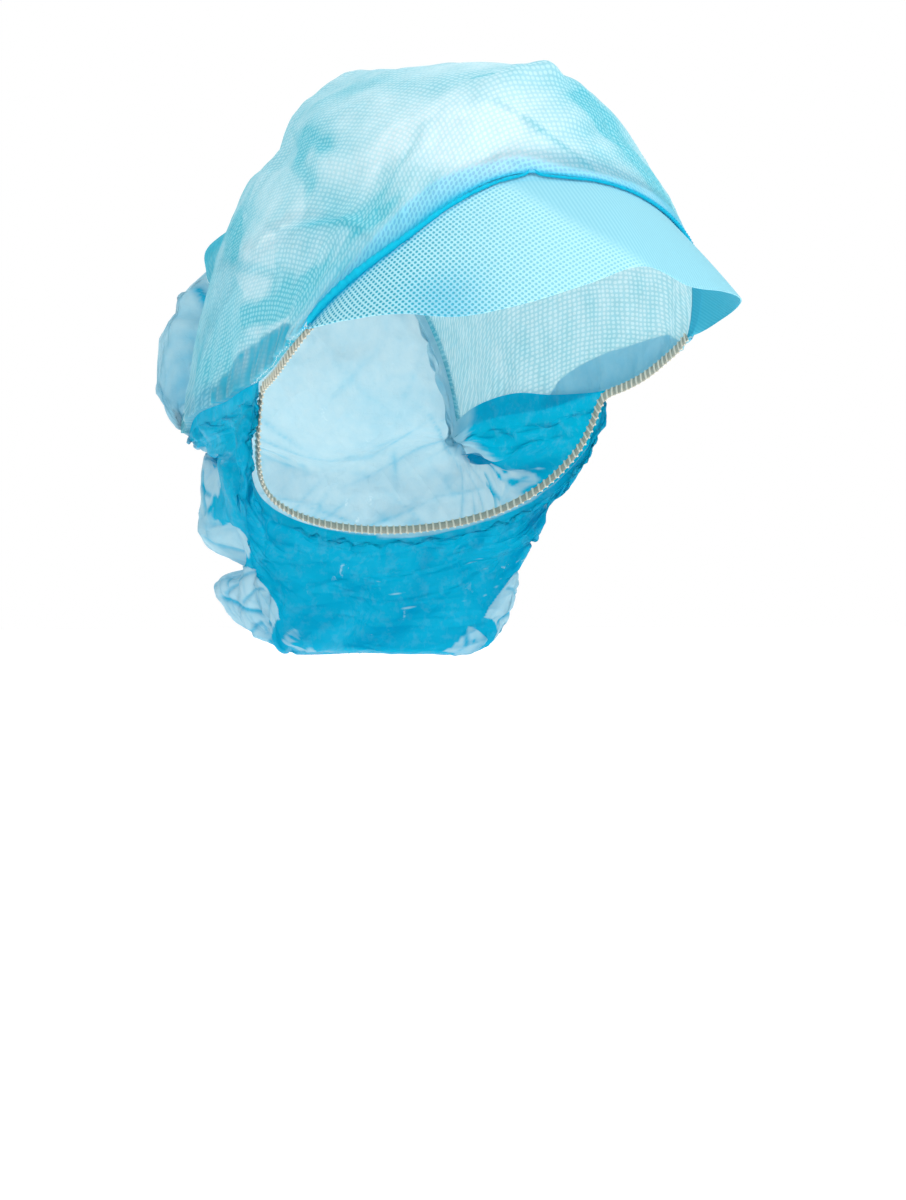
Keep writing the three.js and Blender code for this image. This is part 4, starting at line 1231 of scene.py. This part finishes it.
# Thin polypropylene film: smooth, softly shiny, deep blue where it is bunched and pale where single.
def filmNet():
    material, tree = newMaterial("thin polypropylene film, hairnet")
    place = addNode(tree, "ShaderNodeTexCoord", {}).outputs["Object"]
    crinkle = addNode(tree, "ShaderNodeTexNoise", {
        "Vector": place, "Scale": 210.0, "Detail": 6.0, "Roughness": 0.65})
    bent = addNode(tree, "ShaderNodeMix", {
        "data_type": "VECTOR", 0: 0.012, 4: place, 5: crinkle.outputs["Color"]})
    # cells a metre of the small folds and of the flecks of painted highlight, longer down the film
    hung, drawn = (
        addNode(tree, "ShaderNodeMapping", {"Vector": bent, "Scale": cells})
        for cells in ((150, 150, 75), (330, 330, 120)))
    folds = addNode(tree, "ShaderNodeTexVoronoi", {"Vector": hung, "Scale": 1.0})
    glintCells = addNode(tree, "ShaderNodeTexVoronoi", {"Vector": drawn, "Scale": 1.0})
    # long soft creases in two directions
    creases = []
    for lean in ((0.3, 0.5, 0.0), (-0.4, -0.6, 0.7)):
        along = addNode(tree, "ShaderNodeMapping", {
            "vector_type": "TEXTURE", "Vector": place, "Scale": (0.012, 0.012, 0.06), "Rotation": lean})
        waves = addNode(tree, "ShaderNodeTexNoise", {"Vector": along, "Scale": 1.0, "Detail": 0.0})
        middle = addNode(tree, "ShaderNodeMath", {"operation": "SUBTRACT", 0: waves, 1: 0.5})
        creases.append(addNode(tree, "ShaderNodeMath", {"operation": "ABSOLUTE", 0: middle}))
    mottle = addNode(tree, "ShaderNodeMapRange", {
        "Value": crinkle, "From Min": 0.3, "From Max": 0.7, "To Min": 0.08, "To Max": -0.08})
    bunch = addNode(tree, "ShaderNodeAttribute", {"attribute_name": "bunch"}).outputs["Fac"]
    depth = addNode(tree, "ShaderNodeMath", {"operation": "ADD", "use_clamp": True, 0: bunch, 1: mottle})
    full = addNode(tree, "ShaderNodeMix", {"data_type": "RGBA", 0: depth, 6: "#c6e2ea", 7: "#00b4d6"})
    # painted highlights: small bright flecks where a fold catches the light
    near = addNode(tree, "ShaderNodeMapRange", {"Value": glintCells, "From Min": 0.42, "From Max": 0.12})
    few = addNode(tree, "ShaderNodeMapRange", {
        "Value": glintCells.outputs["Color"], "From Min": 0.88, "From Max": 0.96, "To Max": 0.7})
    paintedGlint = addNode(tree, "ShaderNodeMath", {"operation": "MULTIPLY", 0: near, 1: few})
    tint = addNode(tree, "ShaderNodeMix", {"data_type": "RGBA", 0: paintedGlint, 6: full, 7: "#e6f6fa"})
    cover = addNode(tree, "ShaderNodeMapRange", {"Value": depth, "To Min": 0.88, "To Max": 0.97})
    small = addNode(tree, "ShaderNodeMath", {"operation": "MULTIPLY_ADD", 0: folds, 1: 0.5, 2: crinkle})
    folded = addNode(tree, "ShaderNodeMath", {"operation": "ADD", 0: creases[0], 1: creases[1]})
    relief = addNode(tree, "ShaderNodeMath", {"operation": "MULTIPLY_ADD", 0: folded, 1: 4.0, 2: small})
    body = thinCloth(tree, tint, 0.5, {"Height": relief, "Strength": 0.38, "Distance": 0.0018},
                     {"Roughness": 0.22, "Specular IOR Level": 0.08})
    seen = addNode(tree, "ShaderNodeMix", {"data_type": "RGBA", 0: depth, 6: "#dff3f8", 7: "#1fb0d8"})
    clear = addNode(tree, "ShaderNodeBsdfTransparent", {"Color": seen})
    whole = addNode(tree, "ShaderNodeMixShader", {0: cover, 1: clear, 2: body})
    addNode(tree, "ShaderNodeOutputMaterial", {"Surface": whole})
    return material


crown = makeCrown(spunbondCrown())
peak = makePeak(
    spunbondPeak("embossed spunbond, peak", peakTop),
    spunbondPeak("embossed spunbond, peak underside", peakUnderShaded))
seam = makeSeam(mottledFibre(
    "folded spunbond, seam", ("#00a6c8", "#0cbcda"), 700.0, {"Strength": 0.6, "Distance": 0.0004},
    {"Roughness": 0.75, "Specular IOR Level": 0.12}))
elastic = makeElastic(mottledFibre(
    "elastic braid", ("#868a80", "#a2a496"), 900.0, {"Strength": 0.5, "Distance": 0.0003},
    {"Roughness": 0.85}))
film = filmNet()
hairnet = makeHairnet(film)
facings = [makeFacing("film_facing_right", -1, film), makeFacing("film_facing_left", 1, film)]
threads = makeThreads(
    sewingThread("white polyester thread", "#d5ecf0"),
    sewingThread("blue polyester thread", "#0ca6d2"),
    sewingThread("beige covering yarn", "#cfccbc"))

for piece, node, slot in [
    (crown, "crown", "crown_nonwoven"),
    (peak, "peak", "peak_nonwoven"),
    (seam, "peak_seam", "seam_fold"),
    (elastic, "elastic", "elastic_braid"),
    (hairnet, "hairnet_back", "hairnet_film"),
]:
    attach(piece, "root")
    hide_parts(node)
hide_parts("hairnet_nape")
for piece in facings:
    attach(piece, "root")
for piece in threads:
    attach(piece, "root")

# Camera of the photograph: level, at the height of the pouch, 30 degrees round to the right side.
view = {"azimuth": -30, "height": -0.105, "distance": 2.0, "aside": 0.00115, "lens": 156, "sensor": 36}
turn = math.radians(view["azimuth"])
ahead = Vector((-math.sin(turn), math.cos(turn), 0))
right = Vector((math.cos(turn), math.sin(turn), 0))
lens = bpy.data.cameras.new("photo_camera")
lens.lens, lens.sensor_width, lens.sensor_fit = view["lens"], view["sensor"], "AUTO"
camera = addObject("photo_camera", lens)
camera.location = -ahead * view["distance"] + right * view["aside"] + Vector((0, 0, view["height"]))
camera.rotation_euler = ahead.to_track_quat("-Z", "Y").to_euler()
bpy.context.scene.camera = camera

# Studio: a wide white floor, even white surroundings and large soft lights.
studio = {
    "floor": -0.31,
    "edge": 30.0,
    "glow": 0.6,
    # strength of the surroundings on the dim side and the bright one, which lies right, ahead and up by these
    "dim": 0.18,
    "bright": 0.86,
    "towards": (0.6, -0.4, 0.6),
    "lights": {
        "key_light": {"right": 0.8, "ahead": -1.0, "up": 1.3, "size": 0.9, "power": 18.0},
        "fill_light": {"right": -1.3, "ahead": -1.1, "up": 0.4, "size": 1.2, "power": 2.0},
        "rim_light": {"right": -0.8, "ahead": 1.2, "up": 0.9, "size": 0.8, "power": 7.0},
    },
}


def fromCamera(toRight, toAhead, up):
    return right * toRight + ahead * toAhead + Vector((0, 0, up))


floorMesh = bpy.data.meshes.new("studio_floor")
edge = studio["edge"]
corners = [(x * edge, y * edge, studio["floor"]) for x, y in ((-1, -1), (1, -1), (1, 1), (-1, 1))]
floorMesh.from_pydata(corners, [], [(0, 1, 2, 3)])
floor = addObject("studio_floor", floorMesh)
paper, tree = newMaterial("white paper floor")
matt = addNode(tree, "ShaderNodeBsdfPrincipled", {
    "Base Color": "#fdfdfd", "Roughness": 0.9, "Emission Color": "#ffffff",
    "Emission Strength": studio["glow"]})
addNode(tree, "ShaderNodeOutputMaterial", {"Surface": matt})
floorMesh.materials.append(paper)

world = bpy.data.worlds.new("white studio")
world.use_nodes = True
tree = world.node_tree
tree.nodes.clear()
ray = addNode(tree, "ShaderNodeLightPath", {}).outputs["Is Camera Ray"]
place = addNode(tree, "ShaderNodeTexCoord", {}).outputs["Generated"]
towards = fromCamera(*studio["towards"]).normalized()
slope = addNode(tree, "ShaderNodeVectorMath", {"operation": "DOT_PRODUCT", 0: place, 1: towards})
around = addNode(tree, "ShaderNodeMapRange", {
    "Value": slope, "From Min": -1.0, "From Max": 1.0, "To Min": studio["dim"], "To Max": studio["bright"]})
bright = addNode(tree, "ShaderNodeMix", {"data_type": "FLOAT", 0: ray, 2: around, 3: 1.0})
sky = addNode(tree, "ShaderNodeBackground", {"Color": "#ffffff", "Strength": bright})
addNode(tree, "ShaderNodeOutputWorld", {"Surface": sky})
bpy.context.scene.world = world

for name, cut in studio["lights"].items():
    data = bpy.data.lights.new(name, "AREA")
    data.shape, data.size, data.energy = "DISK", cut["size"], cut["power"]
    light = addObject(name, data)
    light.location = fromCamera(cut["right"], cut["ahead"], cut["up"])
    light.rotation_euler = (-light.location).to_track_quat("-Z", "Y").to_euler()
bpy.context.scene.view_settings.view_transform = "Standard"
print("studio ready")
